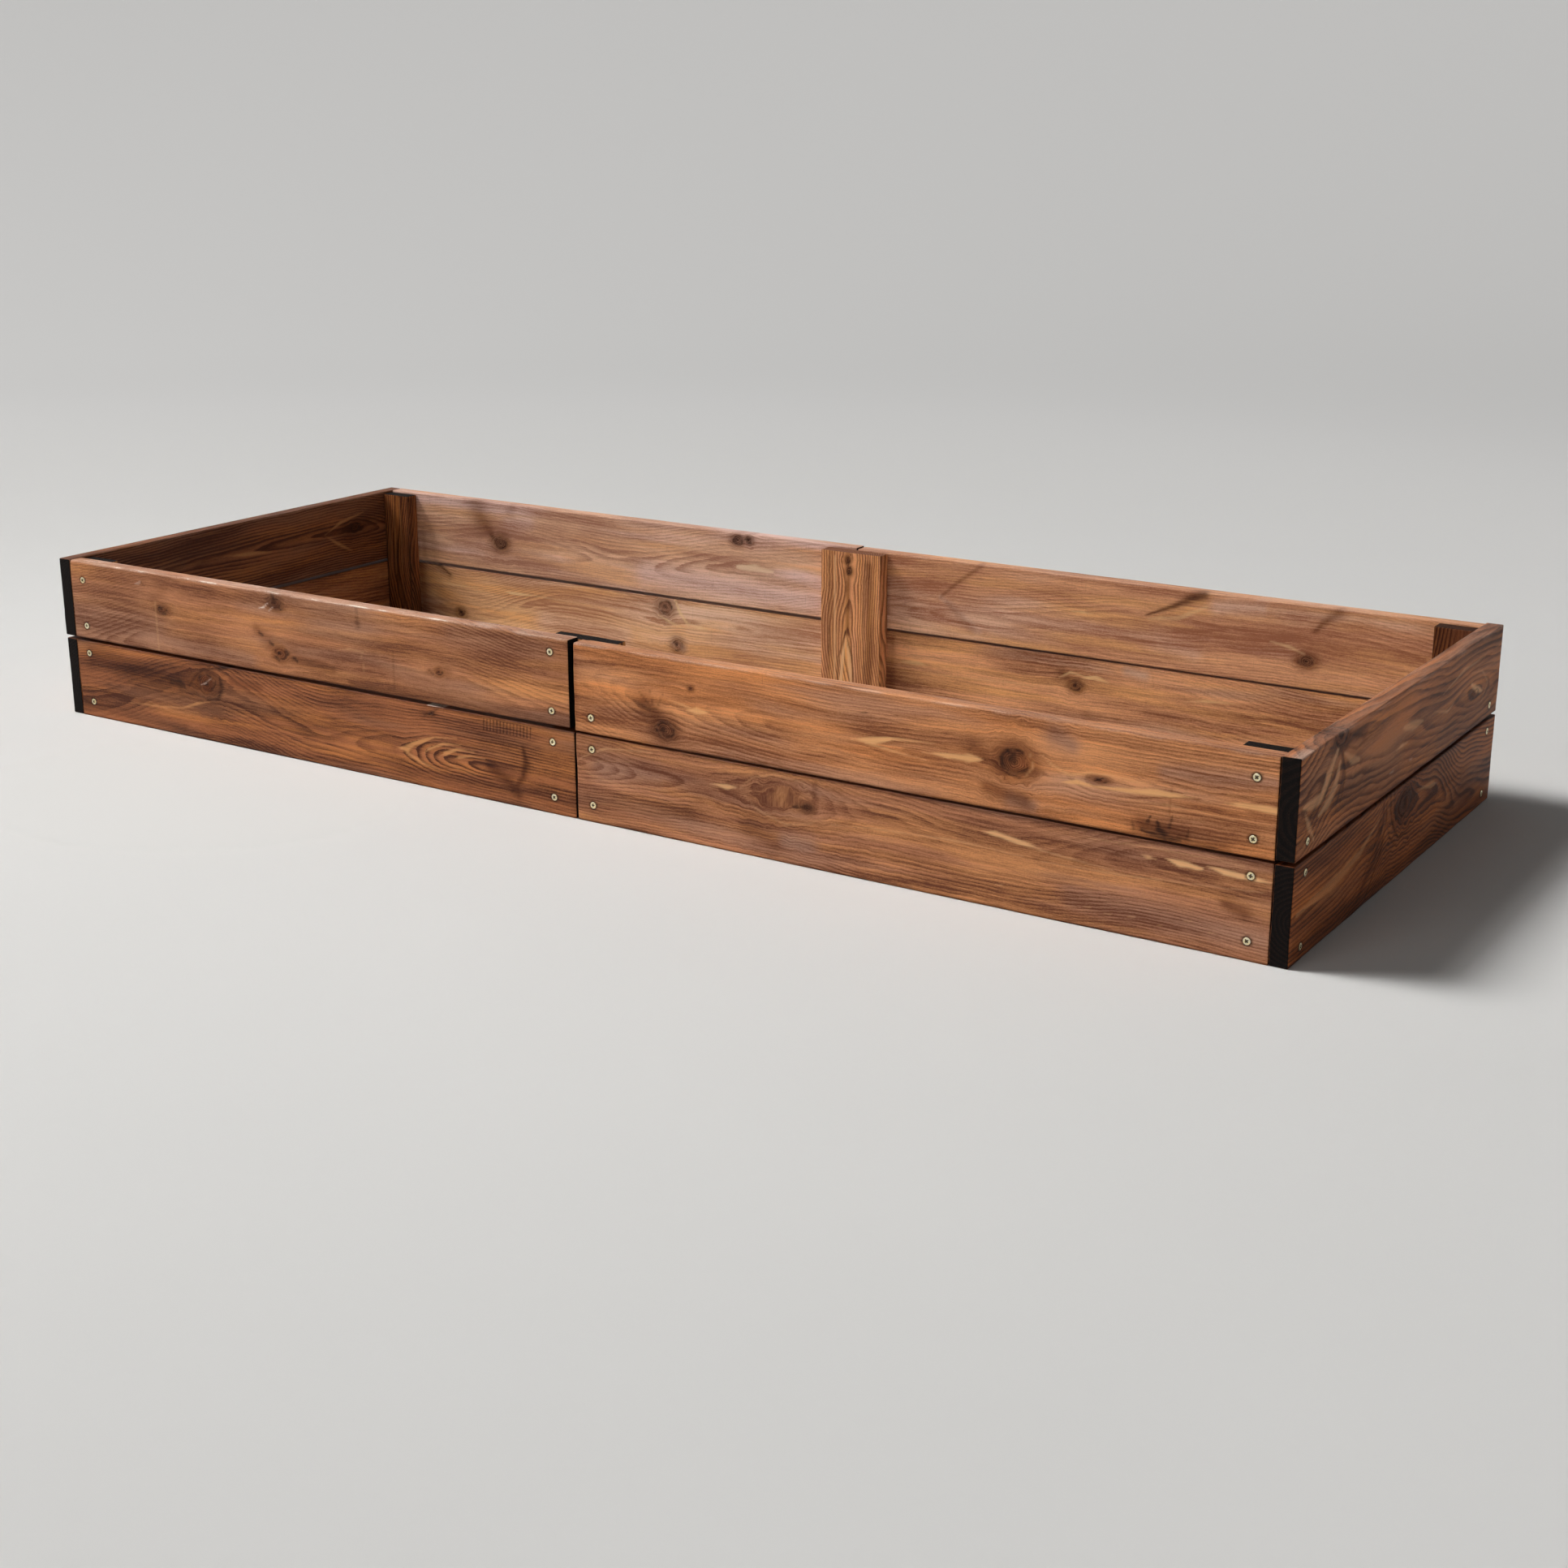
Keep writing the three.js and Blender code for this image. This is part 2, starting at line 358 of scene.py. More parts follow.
def wood_material(name, tint, sawn_ends, light, dark, warm, grey, flame):
    """Stained softwood, its colours taken lighter or darker by tint, which for some timbers also paints in
    the light or shade they stand in. It reads the timber's own grain:
    grain, a place that follows the fibres; ring, a count of year rings; and the masks of Timber.paint."""
    m = Shader(name)
    light, dark, warm, grey, flame = (tinted(c, tint) for c in (light, dark, warm, grey, flame))
    grain = m.attribute("grain").outputs["Vector"]
    ring = m.attribute("ring").outputs["Fac"]
    stain_and_hole_shade, pale, glow = m.split(m.attribute("marks").outputs["Color"])[:3]
    knot, wear_and_highlight, end = m.split(m.attribute("shape").outputs["Color"])[:3]
    shade, cool, etch = m.split(m.attribute("cast").outputs["Color"])[:3]

    broad = m.noise(m.scaled(grain, (3.4, 22.0, 22.0)), detail=2.5, roughness=0.5)
    bands = m.noise(m.scaled(grain, (3.0, 110.0, 110.0)), detail=3.0, roughness=0.6)
    fibres = m.noise(m.scaled(grain, (10.0, 420.0, 420.0)), detail=4.0, roughness=0.65)
    hair = m.noise(m.scaled(grain, (60.0, 1100.0, 1100.0)), detail=3.0, roughness=0.65)
    chatter = m.noise(m.scaled(grain, (380.0, 30.0, 30.0)), detail=3.0, roughness=0.6)
    grit = m.noise(m.scaled(grain, (300.0, 480.0, 480.0)), detail=3.0, roughness=0.75)

    # year rings: pale spring wood that darkens into a thin line of summer wood
    phase = m.math("FRACT", m.math("MULTIPLY_ADD", fibres, 0.35, ring))
    line = m.math("MULTIPLY", m.span(phase, 0.2, 0.88), m.span(phase, 0.9, 1.0, 1.0, 0.0))
    drawn = m.math("MULTIPLY", m.math("SUBTRACT", line, 0.35), etch)

    # how light the stain is, before marks
    level = m.math("MULTIPLY_ADD", drawn, -1.0, 0.5)
    for layer, weight in ((bands, 1.05), (fibres, 1.2), (hair, 1.0), (broad, 1.95), (grit, 0.75)):
        level = m.math("MULTIPLY_ADD", layer, weight, m.math("ADD", level, -0.5 * weight))
    colour = m.mix(m.math("MINIMUM", m.math("MAXIMUM", level, 0.0), 1.0), dark, light)

    warmth = m.noise(m.scaled(grain, (2.6, 30.0, 30.0), (5.0, 3.0, 1.0)), detail=2.0)
    warm_here = m.math("MULTIPLY", m.span(warmth, 0.42, 0.62), 0.75)
    warm_here = m.math("MAXIMUM", warm_here, m.math("MULTIPLY", glow, m.span(bands, 0.3, 0.6, 0.5, 1.0)))
    colour = m.mix(warm_here, colour, m.mix(level, dark, warm))
    chill = m.noise(m.scaled(grain, (2.2, 16.0, 16.0), (1.0, 7.0, 2.0)), detail=2.0)
    grey_here = m.math("MAXIMUM", m.math("MULTIPLY", m.span(chill, 0.48, 0.66), 0.7), cool)
    colour = m.mix(grey_here, colour, m.mix(level, dark, grey))

    # knots and the wood pressed round them; the shade layer also holds painted shade in the seams, along the
    # ground and beside the left post
    knot_tone = m.math("MULTIPLY", knot, m.span(line, 0.0, 1.0, 0.55, 0.9))
    colour = m.mix(knot_tone, colour, m.mix(level, DARK_STAIN_AND_SHADE, KNOT_BROWN))
    colour = m.mix(shade, colour, m.mix(1.0, colour, SHADE_TINT, blend="MULTIPLY"))

    # pale flames, dark stains with the painted shade round the screw holes, and the worn edges with the
    # painted highlight on the top faces, each broken up by the fibres
    pale_here = m.math("MULTIPLY", pale, m.span(m.math("ADD", fibres, bands), 0.6, 1.0, 0.65, 1.0))
    colour = m.mix(pale_here, colour, flame)
    thread = m.math("ADD", m.math("MULTIPLY", fibres, 0.7), m.math("MULTIPLY", hair, 0.5))
    dark_here = m.math("MULTIPLY", stain_and_hole_shade, m.span(thread, 0.75, 0.45, 0.6, 1.2))
    colour = m.mix(m.math("MINIMUM", dark_here, 0.95), colour, DARK_STAIN_AND_SHADE)
    scratch = m.math("MULTIPLY", m.span(chatter, 0.6, 0.75), m.span(broad, 0.45, 0.6, 0.0, 0.2))
    colour = m.mix(scratch, colour, DARK_STAIN_AND_SHADE)
    colour = m.mix(m.math("MULTIPLY", m.span(hair, 0.36, 0.24), 0.45), colour, DARK_STAIN_AND_SHADE)
    worn = m.math("MULTIPLY", wear_and_highlight, m.span(m.math("ADD", fibres, grit), 0.75, 1.15, 0.2, 1.0))
    colour = m.mix(worn, colour, m.mix(m.span(wear_and_highlight, 0.72, 0.92), PALE_WEAR_AND_HIGHLIGHT, CHIPPED))

    # sawn ends, soaked dark
    cells = m.noise(m.scaled(grain, (300.0, 420.0, 1400.0)), detail=3.0, roughness=0.7)
    sawn = m.mix(m.span(m.math("MULTIPLY_ADD", line, -0.25, cells), 0.35, 0.75), *sawn_ends)
    colour = m.mix(end, colour, sawn)
    m.put(m.surface.inputs["Base Color"], colour)

    rough = m.math("MULTIPLY_ADD", fibres, 0.3, 0.38)
    rough = m.math("MULTIPLY_ADD", end, 0.25, rough)
    m.put(m.surface.inputs["Roughness"], m.math("MULTIPLY_ADD", stain_and_hole_shade, 0.1, rough, clamp=True))
    m.surface.inputs["Specular IOR Level"].default_value = 0.13

    height = m.math("MULTIPLY_ADD", drawn, 0.7, m.math("MULTIPLY", fibres, 0.9))
    height = m.math("MULTIPLY_ADD", hair, 0.5, height)
    height = m.math("MULTIPLY_ADD", grit, 0.35, height)
    height = m.math("MULTIPLY_ADD", m.math("MULTIPLY", cells, end), 1.2, height)
    height = m.math("MULTIPLY_ADD", stain_and_hole_shade, -0.7, height)
    bump = m.node("Bump", {"Height": height, "Strength": 0.7, "Distance": 0.0008})
    m.put(m.surface.inputs["Normal"], bump.outputs["Normal"])
    return m.material


def zinc_material():
    """Yellow zinc plate, scuffed by the driver."""
    m = Shader("screw_zinc")
    place = m.node("TexCoord").outputs["Object"]
    patches = m.noise(m.scaled(place, (500.0, 500.0, 500.0)), detail=3.0)
    scuffs = m.noise(m.scaled(place, (2600.0, 2600.0, 2600.0)), detail=2.0)
    colour = m.mix(m.span(patches, 0.35, 0.65), rgb(248, 226, 168), rgb(240, 234, 208))
    colour = m.mix(m.span(scuffs, 0.62, 0.8, 0.0, 0.5), colour, rgb(120, 104, 70))
    # Painted shade in the cross recess and round the head's rim.
    crevice_shade = m.attribute("crevice_shade").outputs["Fac"]
    colour = m.mix(m.math("MULTIPLY", crevice_shade, 0.9), colour, rgb(52, 36, 22))
    m.put(m.surface.inputs["Base Color"], colour)
    m.surface.inputs["Metallic"].default_value = 1.0
    m.put(m.surface.inputs["Roughness"], m.math("MULTIPLY_ADD", patches, 0.3, 0.16))
    bump = m.node("Bump", {"Height": scuffs, "Strength": 0.25, "Distance": 0.0001})
    m.put(m.surface.inputs["Normal"], bump.outputs["Normal"])
    return m.material


# ---------------------------------------------------------------- screws

HEAD_R, HEAD_RISE, HEAD_CONE, SHANK_R, TIP = 5.5, 1.2, 3.1, 2.4, 6.0
RECESS_REACH, RECESS_WIDTH, RECESS_DEEP = 3.1, 0.95, 2.0
THREAD_PITCH, THREAD_CORE = 2.9, 1.75
THREAD_END, PLAIN_START = -22.0, -18.0  # between them the thread fades into the plain shank
SCREW_SIDES, HOLE_SIDES, THREAD_STEPS = 48, 24, 72
HEAD_RINGS = (5.3, 4.9, 4.2, 3.5, 3.1, 2.85, 2.6, 2.3, 1.95, 1.6, 1.3, 1.05, 0.8, 0.5)  # radii on the head


def dome_height(radius):
    """The oval head's top above the timber's face, as if it had no recess."""
    return HEAD_RISE * (1 - 0.72 * (radius / HEAD_R) ** 2)


def head_height(radius, turn):
    """The oval head's top above the timber's face, with its cross recess, at a place on it."""
    x, y = abs(radius * math.cos(turn)), abs(radius * math.sin(turn))
    near, far = min(x, y), max(x, y)
    across_wing = ease(RECESS_WIDTH + 0.35, RECESS_WIDTH - 0.25, near)
    wing = float(across_wing * ease(RECESS_REACH + 0.3, RECESS_REACH - 0.5, far))
    return dome_height(radius) - RECESS_DEEP * wing * (1 - 0.5 * far / RECESS_REACH)


def screw_mesh(length, turned):
    """One wood screw along Z, its head up and the timber's face at 0. turned is where the cross points."""
    sides = SCREW_SIDES
    vertices, rings = [], []

    def ring(count, point):
        rings.append(range(len(vertices), len(vertices) + count))
        vertices.extend(point(2 * math.pi * i / sides) for i in range(count))

    def level(radius, height):
        ring(sides, lambda a: (radius * math.cos(a + turned), radius * math.sin(a + turned), height))

    tip_at, cone_at = -(length - HEAD_RISE), -HEAD_CONE
    ring(1, lambda a: (0.0, 0.0, tip_at))
    for i in range(1, THREAD_STEPS):
        z = tip_at + (cone_at - tip_at) * i / THREAD_STEPS
        taper = min(1.0, (z - tip_at) / TIP)
        plain = float(ease(THREAD_END, PLAIN_START, z))

        def threaded(a, z=z, taper=taper, plain=plain):
            crest = 1 - abs(((z / THREAD_PITCH - a / (2 * math.pi)) % 1.0) * 2 - 1)
            r = THREAD_CORE + (SHANK_R - THREAD_CORE) * (crest**3 * (1 - plain) + 0.35 * plain)
            return (r * taper * math.cos(a), r * taper * math.sin(a), z)

        ring(sides, threaded)
    level(SHANK_R, cone_at)
    level(HEAD_R - 0.25, -0.25)
    level(HEAD_R, 0.0)
    level(HEAD_R, 0.18)
    for radius in HEAD_RINGS:
        ring(sides, lambda a, r=radius: (
            r * math.cos(a + turned), r * math.sin(a + turned), head_height(r, a)))
    ring(1, lambda a: (0.0, 0.0, head_height(0.0, 0.0)))
    return np.array(vertices), bridge(rings, sides)


def facing(direction):
    """A turn that takes Z to the direction."""
    return np.array(Vector(direction).to_track_quat("Z", "Y").to_matrix())


HOLE_GAP = 0.3


def hole_cutter(centre, turn, length):
    """What a screw's hole takes out of the timbers: a bruised rim, the countersink and the bore."""
    deep = -(length - HEAD_RISE) - 1.0
    profile = [
        (0.0, deep), (SHANK_R + HOLE_GAP, deep + TIP), (SHANK_R + HOLE_GAP, -HEAD_CONE - HOLE_GAP),
        (HEAD_R + 0.25, -0.75), (HEAD_R + 0.7, -0.35), (HEAD_R + 1.3, 0.15), (HEAD_R + 1.3, 3.0), (0.0, 3.0),
    ]
    vertices, faces = lathe(profile, HOLE_SIDES)
    return np.array(vertices) @ turn.T + centre, faces


SCREW_FACING = {"front": (0, -1, 0), "back": (0, 1, 0), "left": (-1, 0, 0), "right": (1, 0, 0)}


def make_screws(zinc):
    """Every screw node gets a modelled screw. Gives back each one's centre on the face, turn and length."""
    placed = {}
    draw = np.random.default_rng(SEED)
    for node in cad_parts:
        if "_screw_" not in node:
            continue
        outward = np.array(SCREW_FACING[node.split("_")[0]], float)
        low, high = box_mm(node)
        middle, half = (low + high) / 2, (high - low) / 2
        length = float(2 * half @ abs(outward))
        centre = middle + outward * (length / 2 - HEAD_RISE)
        turn = facing(outward)
        local, faces = screw_mesh(length, draw.uniform(0.0, math.pi / 2))
        mesh = mesh_from_arrays(node + "_piece", local @ turn.T + centre, faces)
        # Painted shade in the cross recess and on the rim where the head meets the wood.
        sunk = dome_height(np.hypot(local[:, 0], local[:, 1])) - local[:, 2]
        rim = ease(0.35, 0.05, local[:, 2])
        store(mesh, "crevice_shade", "FLOAT", np.maximum(ease(0.1, 0.9, sunk), rim))
        mesh.shade_smooth()
        mesh.set_sharp_from_angle(angle=math.radians(40))
        add_piece(node + "_piece", mesh, zinc, node)
        placed[node] = (centre, turn, length)
    return placed


# ---------------------------------------------------------------- timbers

RIM, RIM_BOARDS = 295.0, 280.0  # the height of the bed's rim, and what only its upper boards reach
MESH_STEP = (4.0, 2.0, 4.0)  # between mesh lines along, across and through a timber
SOFT_LAYERS = ("glow", "shade", "grey", "etch")
AXES = {"side": (0, 2, 1), "end": (1, 2, 0), "post": (2, 0, 1)}  # along, across and through the timber


class Timber:
    """One board or post: its box, its directions and its grain."""

    def __init__(self, node, kind, outward, grain, seed):
        self.node, self.grain, self.seed = node, grain, seed
        self.along, self.across, self.through = AXES[kind]
        self.outward = outward
        self.low, self.high = box_mm(node)

    def places(self, p):
        """Distance along, across, and in from the outer face."""
        s, t = p[:, self.along], p[:, self.across]
        face = (self.high if self.outward > 0 else self.low)[self.through]
        return s, t, (face - p[:, self.through]) * self.outward

    def shell(self):
        """The closed surface: eased arrises, worn corners and an uneven face, all within the CAD box."""
        lines = [None] * 3
        for axis, step in zip((self.along, self.across, self.through), MESH_STEP):
            lines[axis] = divided(self.low[axis], self.high[axis], step)
        for start, stop, step in self.grain.get("finer", ()):
            line = lines[self.along]
            kept = line[(line < start - step) | (line > stop + step)]
            lines[self.along] = np.sort(np.concatenate([kept, np.arange(start, stop, step)]))
        p, quads = box_shell(lines)
        s, t, d = self.places(p)
        ease_r = self.arris(s, t, d)[:, None]
        core = np.clip(p, self.low + ease_r, self.high - ease_r)
        out = p - core
        size = np.linalg.norm(out, axis=1, keepdims=True)
        out = out / np.maximum(size, 1e-9)
        p = core + ease_r * out
        return p - out * self.hollows(s, t, d)[:, None], quads

    def arris(self, s, t, d):
        """The radius of the nearest edge."""
        g = self.grain
        r = g.get("arris", 2.3) + 0.9 * noise(s / 70, t / 40, d / 20, self.seed)
        r += 0.5 * noise(s / 17, t / 20, d / 14, self.seed + 1)
        for place, height, reach, extra in g.get("worn", ()):
            r += extra * np.exp(-(((s - place) / reach) ** 2) - ((t - height) / 14) ** 2)
        return np.clip(r, 1.0, 7.0)

    def hollows(self, s, t, d):
        """How far the surface lies below the full size: planer waves, fibres pulled up, knots."""
        deep = 0.18 + 0.16 * layered_noise(s / 90, t / 22, d / 22, self.seed + 5, 3)
        for place, height, radius, stretch, _ in self.grain.get("knots", ()):
            q = np.hypot((s - place) / stretch, t - height) / radius
            deep += 0.35 * np.exp(-(((q - 1.15) / 0.3) ** 2)) - 0.15 * np.exp(-((q / 0.6) ** 2))
        return np.clip(deep, 0.0, 1.2)

    def build(self, material, screws):
        vertices, quads = self.shell()
        mesh = mesh_from_arrays(self.node + "_piece", vertices, quads)
        piece = add_piece(self.node + "_piece", mesh, material, self.node)
        self.screws = drill(piece, self, screws)
        self.paint(piece.data)
        return piece

    def paint(self, mesh):
        """Stores the grain and the masks on the vertices:
        marks holds dark stain with the painted shade round the screw holes, pale flame and warm glow; shape
        holds knot, worn edge with the painted highlight on the top faces, and sawn end; cast holds shade
        with the painted shade in the seams and along the ground, grey and how strongly the year rings show."""
        p = read_vertices(mesh, "co") / MM
        n = read_vertices(mesh, "normal")
        s, t, d = self.places(p)
        flow, ring, knot = self.rings(s, t, d)
        store(mesh, "grain", "FLOAT_VECTOR", np.stack([
            s * MM + 3.1 * self.seed, flow * MM + 1.7 * self.seed, d * MM], axis=1))
        store(mesh, "ring", "FLOAT", ring)
        layers = self.marks(s, t, d)
        end = ease(0.55, 0.85, np.abs(n[:, self.along]))
        inside = np.minimum(s - self.low[self.along], self.high[self.along] - s)
        end = end * ease(9.0, 5.0, inside)
        wear_and_highlight = np.maximum(self.wear_and_highlight(s, t, d) * (1 - end), layers["chip"])
        marks = np.stack([layers["dark"], layers["flame"], layers["glow"]], axis=1)
        cast = np.stack([layers["shade"], layers["grey"], layers["etch"]], axis=1)
        store(mesh, "marks", "FLOAT_COLOR", marks)
        store(mesh, "shape", "FLOAT_COLOR", np.stack([knot, wear_and_highlight, end], axis=1))
        store(mesh, "cast", "FLOAT_COLOR", cast)

    def rings(self, s, t, d):
        """The fibres' own place across, the count of year rings, and where the knots are."""
        g = self.grain
        wander = g.get("wander", 1.0)
        flow = t + wander * (3.5 * noise(s / 260, t / 90, d / 90, self.seed + 11)
                             + 1.1 * noise(s / 60, t / 26, d / 26, self.seed + 12))
        knot = np.zeros(len(s))
        rings_in_knot = np.zeros(len(s))
        knots = g.get("knots", [])
        for turn in knots + g.get("swirls", []):
            place, height, radius, stretch, pull = turn
            rough = 1 + 0.2 * layered_noise(s / 12, t / 12, d / 30, self.seed + 13, 2)
            ds, dt = (s - place) / stretch, t - height
            q = np.hypot(ds, dt) * rough
            reach = (radius * 1.1) ** 2
            squeeze = np.where(q > radius * 1.1, reach / np.maximum(q, 1) ** 2, 1.0)
            flow = flow - dt * squeeze * pull
            if turn not in knots:
                continue
            inside = ease(radius * 1.12, radius * 0.82, q)
            knot = np.maximum(knot, inside)
            rings_in_knot = np.where(inside > 0.5, q / 2.6, rings_in_knot)
        pith, depth = along(s, g["pith"])
        facing_in = BOARD_T - d if g.get("inner_face") else d
        spread = np.hypot(flow - pith, depth + facing_in)
        ring = spread / g.get("spacing", 5.0)
        ring += 0.3 * layered_noise(s / 180, flow / 30, d / 30, self.seed + 14, 3)
        ring = np.where(knot > 0.5, rings_in_knot, ring)
        return flow, ring, knot

    def marks(self, s, t, d):
        """Each layer of marks, from 0 to 1."""
        layers = {layer: np.zeros(len(s)) for layer in ("dark", "flame", "glow", "chip", "shade", "grey")}
        layers["etch"] = np.full(len(s), self.grain.get("etch", 0.35))
        layers["etch"] += 0.25 * noise(s / 150, t / 40, d / 60, self.seed + 20)
        ragged = layered_noise(s / 15, t / 4.0, d / 9, self.seed + 21, 3)
        lumpy = layered_noise(s / 30, t / 18, d / 18, self.seed + 22, 3)
        face = BOARD_T - d if self.grain.get("inner_face") else d
        shown = ease(BOARD_T * 0.75, BOARD_T * 0.4, face)
        for layer, marks in self.grain.get("marks", {}).items():
            for strength, *route in marks:
                q, width = distance_to_route(s, t, route)
                if layer == "flame":
                    strength = strength * np.clip(width / 3.0, 0.45, 1.0)
                if layer in SOFT_LAYERS:
                    amount = np.exp(-((q * (1 + 0.12 * lumpy)) ** 2) * 1.4)
                elif layer == "dark":
                    amount = ease(1.5, 0.1, q + 0.3 * ragged + 0.2 * lumpy)
                else:
                    amount = ease(1.3, 0.45, q + 0.16 * ragged + 0.12 * lumpy)
                layers[layer] = np.maximum(layers[layer], strength * shown * amount)
        for place, height, radius, stretch, _ in self.grain.get("knots", ()):
            ds, dt = (s - place) / stretch / radius, (t - height) / radius
            q = np.hypot(ds, dt) + 0.14 * ragged + 0.08 * lumpy
            broken = 0.55 + 0.6 * noise(np.arctan2(dt, ds) * 1.6, ds * 0 + radius, d / 40, self.seed + 23)
            rim = np.exp(-(((q - 0.98) / 0.16) ** 2)) * np.clip(broken + 0.1, 0.2, 1)
            heart = ease(0.55, 0.15, np.hypot(ds + 0.15, dt - 0.1) + 0.2 * ragged)
            layers["dark"] = np.maximum(layers["dark"], np.maximum(rim, heart))
            layers["glow"] = np.maximum(layers["glow"], 0.7 * np.exp(-((q / 1.9) ** 2)))
            layers["shade"] = np.maximum(layers["shade"], 0.7 * np.exp(-(((q - 1.25) / 0.85) ** 2)))
        # Painted shade in the seams between boards and along the ground.
        if self.across == 2:
            layers["shade"] = np.maximum(layers["shade"], self.crevice_shade(s, t, d))
        # Painted shade in the crater round each screw head.
        for centre in self.screws:
            q = np.hypot(s - centre[self.along], t - centre[self.across])
            hole_shade = 0.85 * np.exp(-(((q - 6.4) / 1.5) ** 2)) * ease(6.0, 2.0, d)
            layers["dark"] = np.maximum(layers["dark"], hole_shade)
        return {layer: np.clip(value, 0, 1) for layer, value in layers.items()}

    def wear_and_highlight(self, s, t, d):
        """How far the stain has rubbed off the arrises, and the painted highlight that pales the top faces.
        Only the boards at the rim are rubbed.
        """
        if self.across != 2 or self.high[2] < RIM_BOARDS:
            return np.zeros(len(s))
        across = np.minimum(t - self.low[self.across], self.high[self.across] - t)
        through = np.minimum(d, BOARD_T - d)
        off_edge = np.maximum(across, through)
        rubbed = 0.5 + 0.7 * layered_noise(s / 45, t / 12, d / 12, self.seed + 31, 3)
        amount = self.grain.get("rubbed", 0.5)
        arris = ease(5.5, 1.2, off_edge) * np.clip(rubbed, 0, 1) * amount * ease(12.0, 6.0, RIM - t)
        # The top face is paled partly as worn stain and partly as a painted highlight from the light above.
        top = ease(3.5, 1.0, self.high[2] - t) * self.grain.get("rim", 0.2) * np.clip(0.4 + rubbed, 0, 1.3)
        return np.clip(np.maximum(arris, top), 0, 1)

    def crevice_shade(self, s, t, d):
        """Painted shade on the arrises in the seams between boards and along the ground."""
        below, above = t - self.low[2], self.high[2] - t
        edge = below if self.high[2] > RIM_BOARDS else np.minimum(below, above)
        ragged = 1 + 0.3 * layered_noise(s / 40, t / 6, d / 9, self.seed + 41, 3)
        reach, strength = (3.5, 0.6) if self.grain.get("inner_face") else (5.5, 0.85)
        return strength * ease(reach, 0.8, edge * ragged)


def distance_to_route(s, t, route):
    """Distance to a route of (along, across, half width) points, as a share of its width there, and that
    half width. Nothing is narrower than the mesh can show."""
    best, width = np.full(len(s), 1e9), np.ones(len(s))
    route = list(route) if len(route) > 1 else [route[0], route[0]]
    for (s0, t0, w0), (s1, t1, w1) in zip(route, route[1:]):
        ds, dt = s1 - s0, t1 - t0
        span = ds * ds + dt * dt
        w = np.clip(((s - s0) * ds + (t - t0) * dt) / span, 0, 1) if span else np.zeros(len(s))
        away = np.hypot(s - s0 - w * ds, t - t0 - w * dt)
        half = np.maximum(w0 + (w1 - w0) * w, 1.1)
        width = np.where(away / half < best, half, width)
        best = np.minimum(best, away / half)
    return best, width


def read_vertices(mesh, field):
    """A vector field of the vertices as an array."""
    values = np.empty(len(mesh.vertices) * 3, np.float32)
    mesh.vertices.foreach_get(field, values)
    return values.reshape(-1, 3).astype(float)


def store(mesh, name, kind, values):
    """A named value on each vertex."""
    layer = mesh.attributes.new(name, kind, "POINT")
    if kind == "FLOAT_COLOR":
        values = np.concatenate([values, np.ones((len(values), 1))], axis=1)
    field = {"FLOAT": "value", "FLOAT_VECTOR": "vector", "FLOAT_COLOR": "color"}[kind]
    layer.data.foreach_set(field, np.asarray(values, np.float32).ravel())


def drill(piece, timber, screws):
    """Cuts the holes of the screws that pass through a timber, and gives back their centres."""
    vertices, faces, centres = [], [], []
    for centre, turn, length in screws.values():
        tip = centre - turn[:, 2] * (length - HEAD_RISE)
        reach = np.sort(np.stack([centre, tip]), axis=0) + [[-8.0] * 3, [8.0] * 3]
        if np.all(reach[1] > timber.low) and np.all(reach[0] < timber.high):
            more, loops = hole_cutter(centre, turn, length)
            faces += [tuple(i + len(vertices) for i in loop) for loop in loops]
            vertices += more.tolist()
            centres.append(centre)
    if not faces:
        return centres
    mesh = mesh_from_arrays("holes", vertices, faces)
    cutter = bpy.data.objects.new("holes", mesh)
    bpy.context.collection.objects.link(cutter)
    cut = piece.modifiers.new("holes", "BOOLEAN")
    cut.operation, cut.solver, cut.object = "DIFFERENCE", "MANIFOLD", cutter
    shaped = bpy.data.meshes.new_from_object(piece.evaluated_get(bpy.context.evaluated_depsgraph_get()))
    piece.modifiers.clear()
    old, piece.data = piece.data, shaped
    bpy.data.meshes.remove(old)
    shaped.name = piece.name
    bpy.data.objects.remove(cutter)
    bpy.data.meshes.remove(mesh)
    shaped.shade_smooth()
    shaped.set_sharp_from_angle(angle=math.radians(38))
    return centres


# ---------------------------------------------------------------- each timber's own grain
# Places are in mm: along a board from the bed's middle, and above the ground. For a post they are the
# height first, and then the place along the bed.
# pith: (place, height of the heart, its depth behind the face)
# knots: (place, height, radius, stretch along the grain, how far the fibres give way)
# finer: (start, stop, step) of a stretch with closer mesh lines, for its narrow marks
# worn: (place, height, reach along the edge, how much rounder the arris is)
# marks: for each layer, a strength and a route of (place, height, half width) points

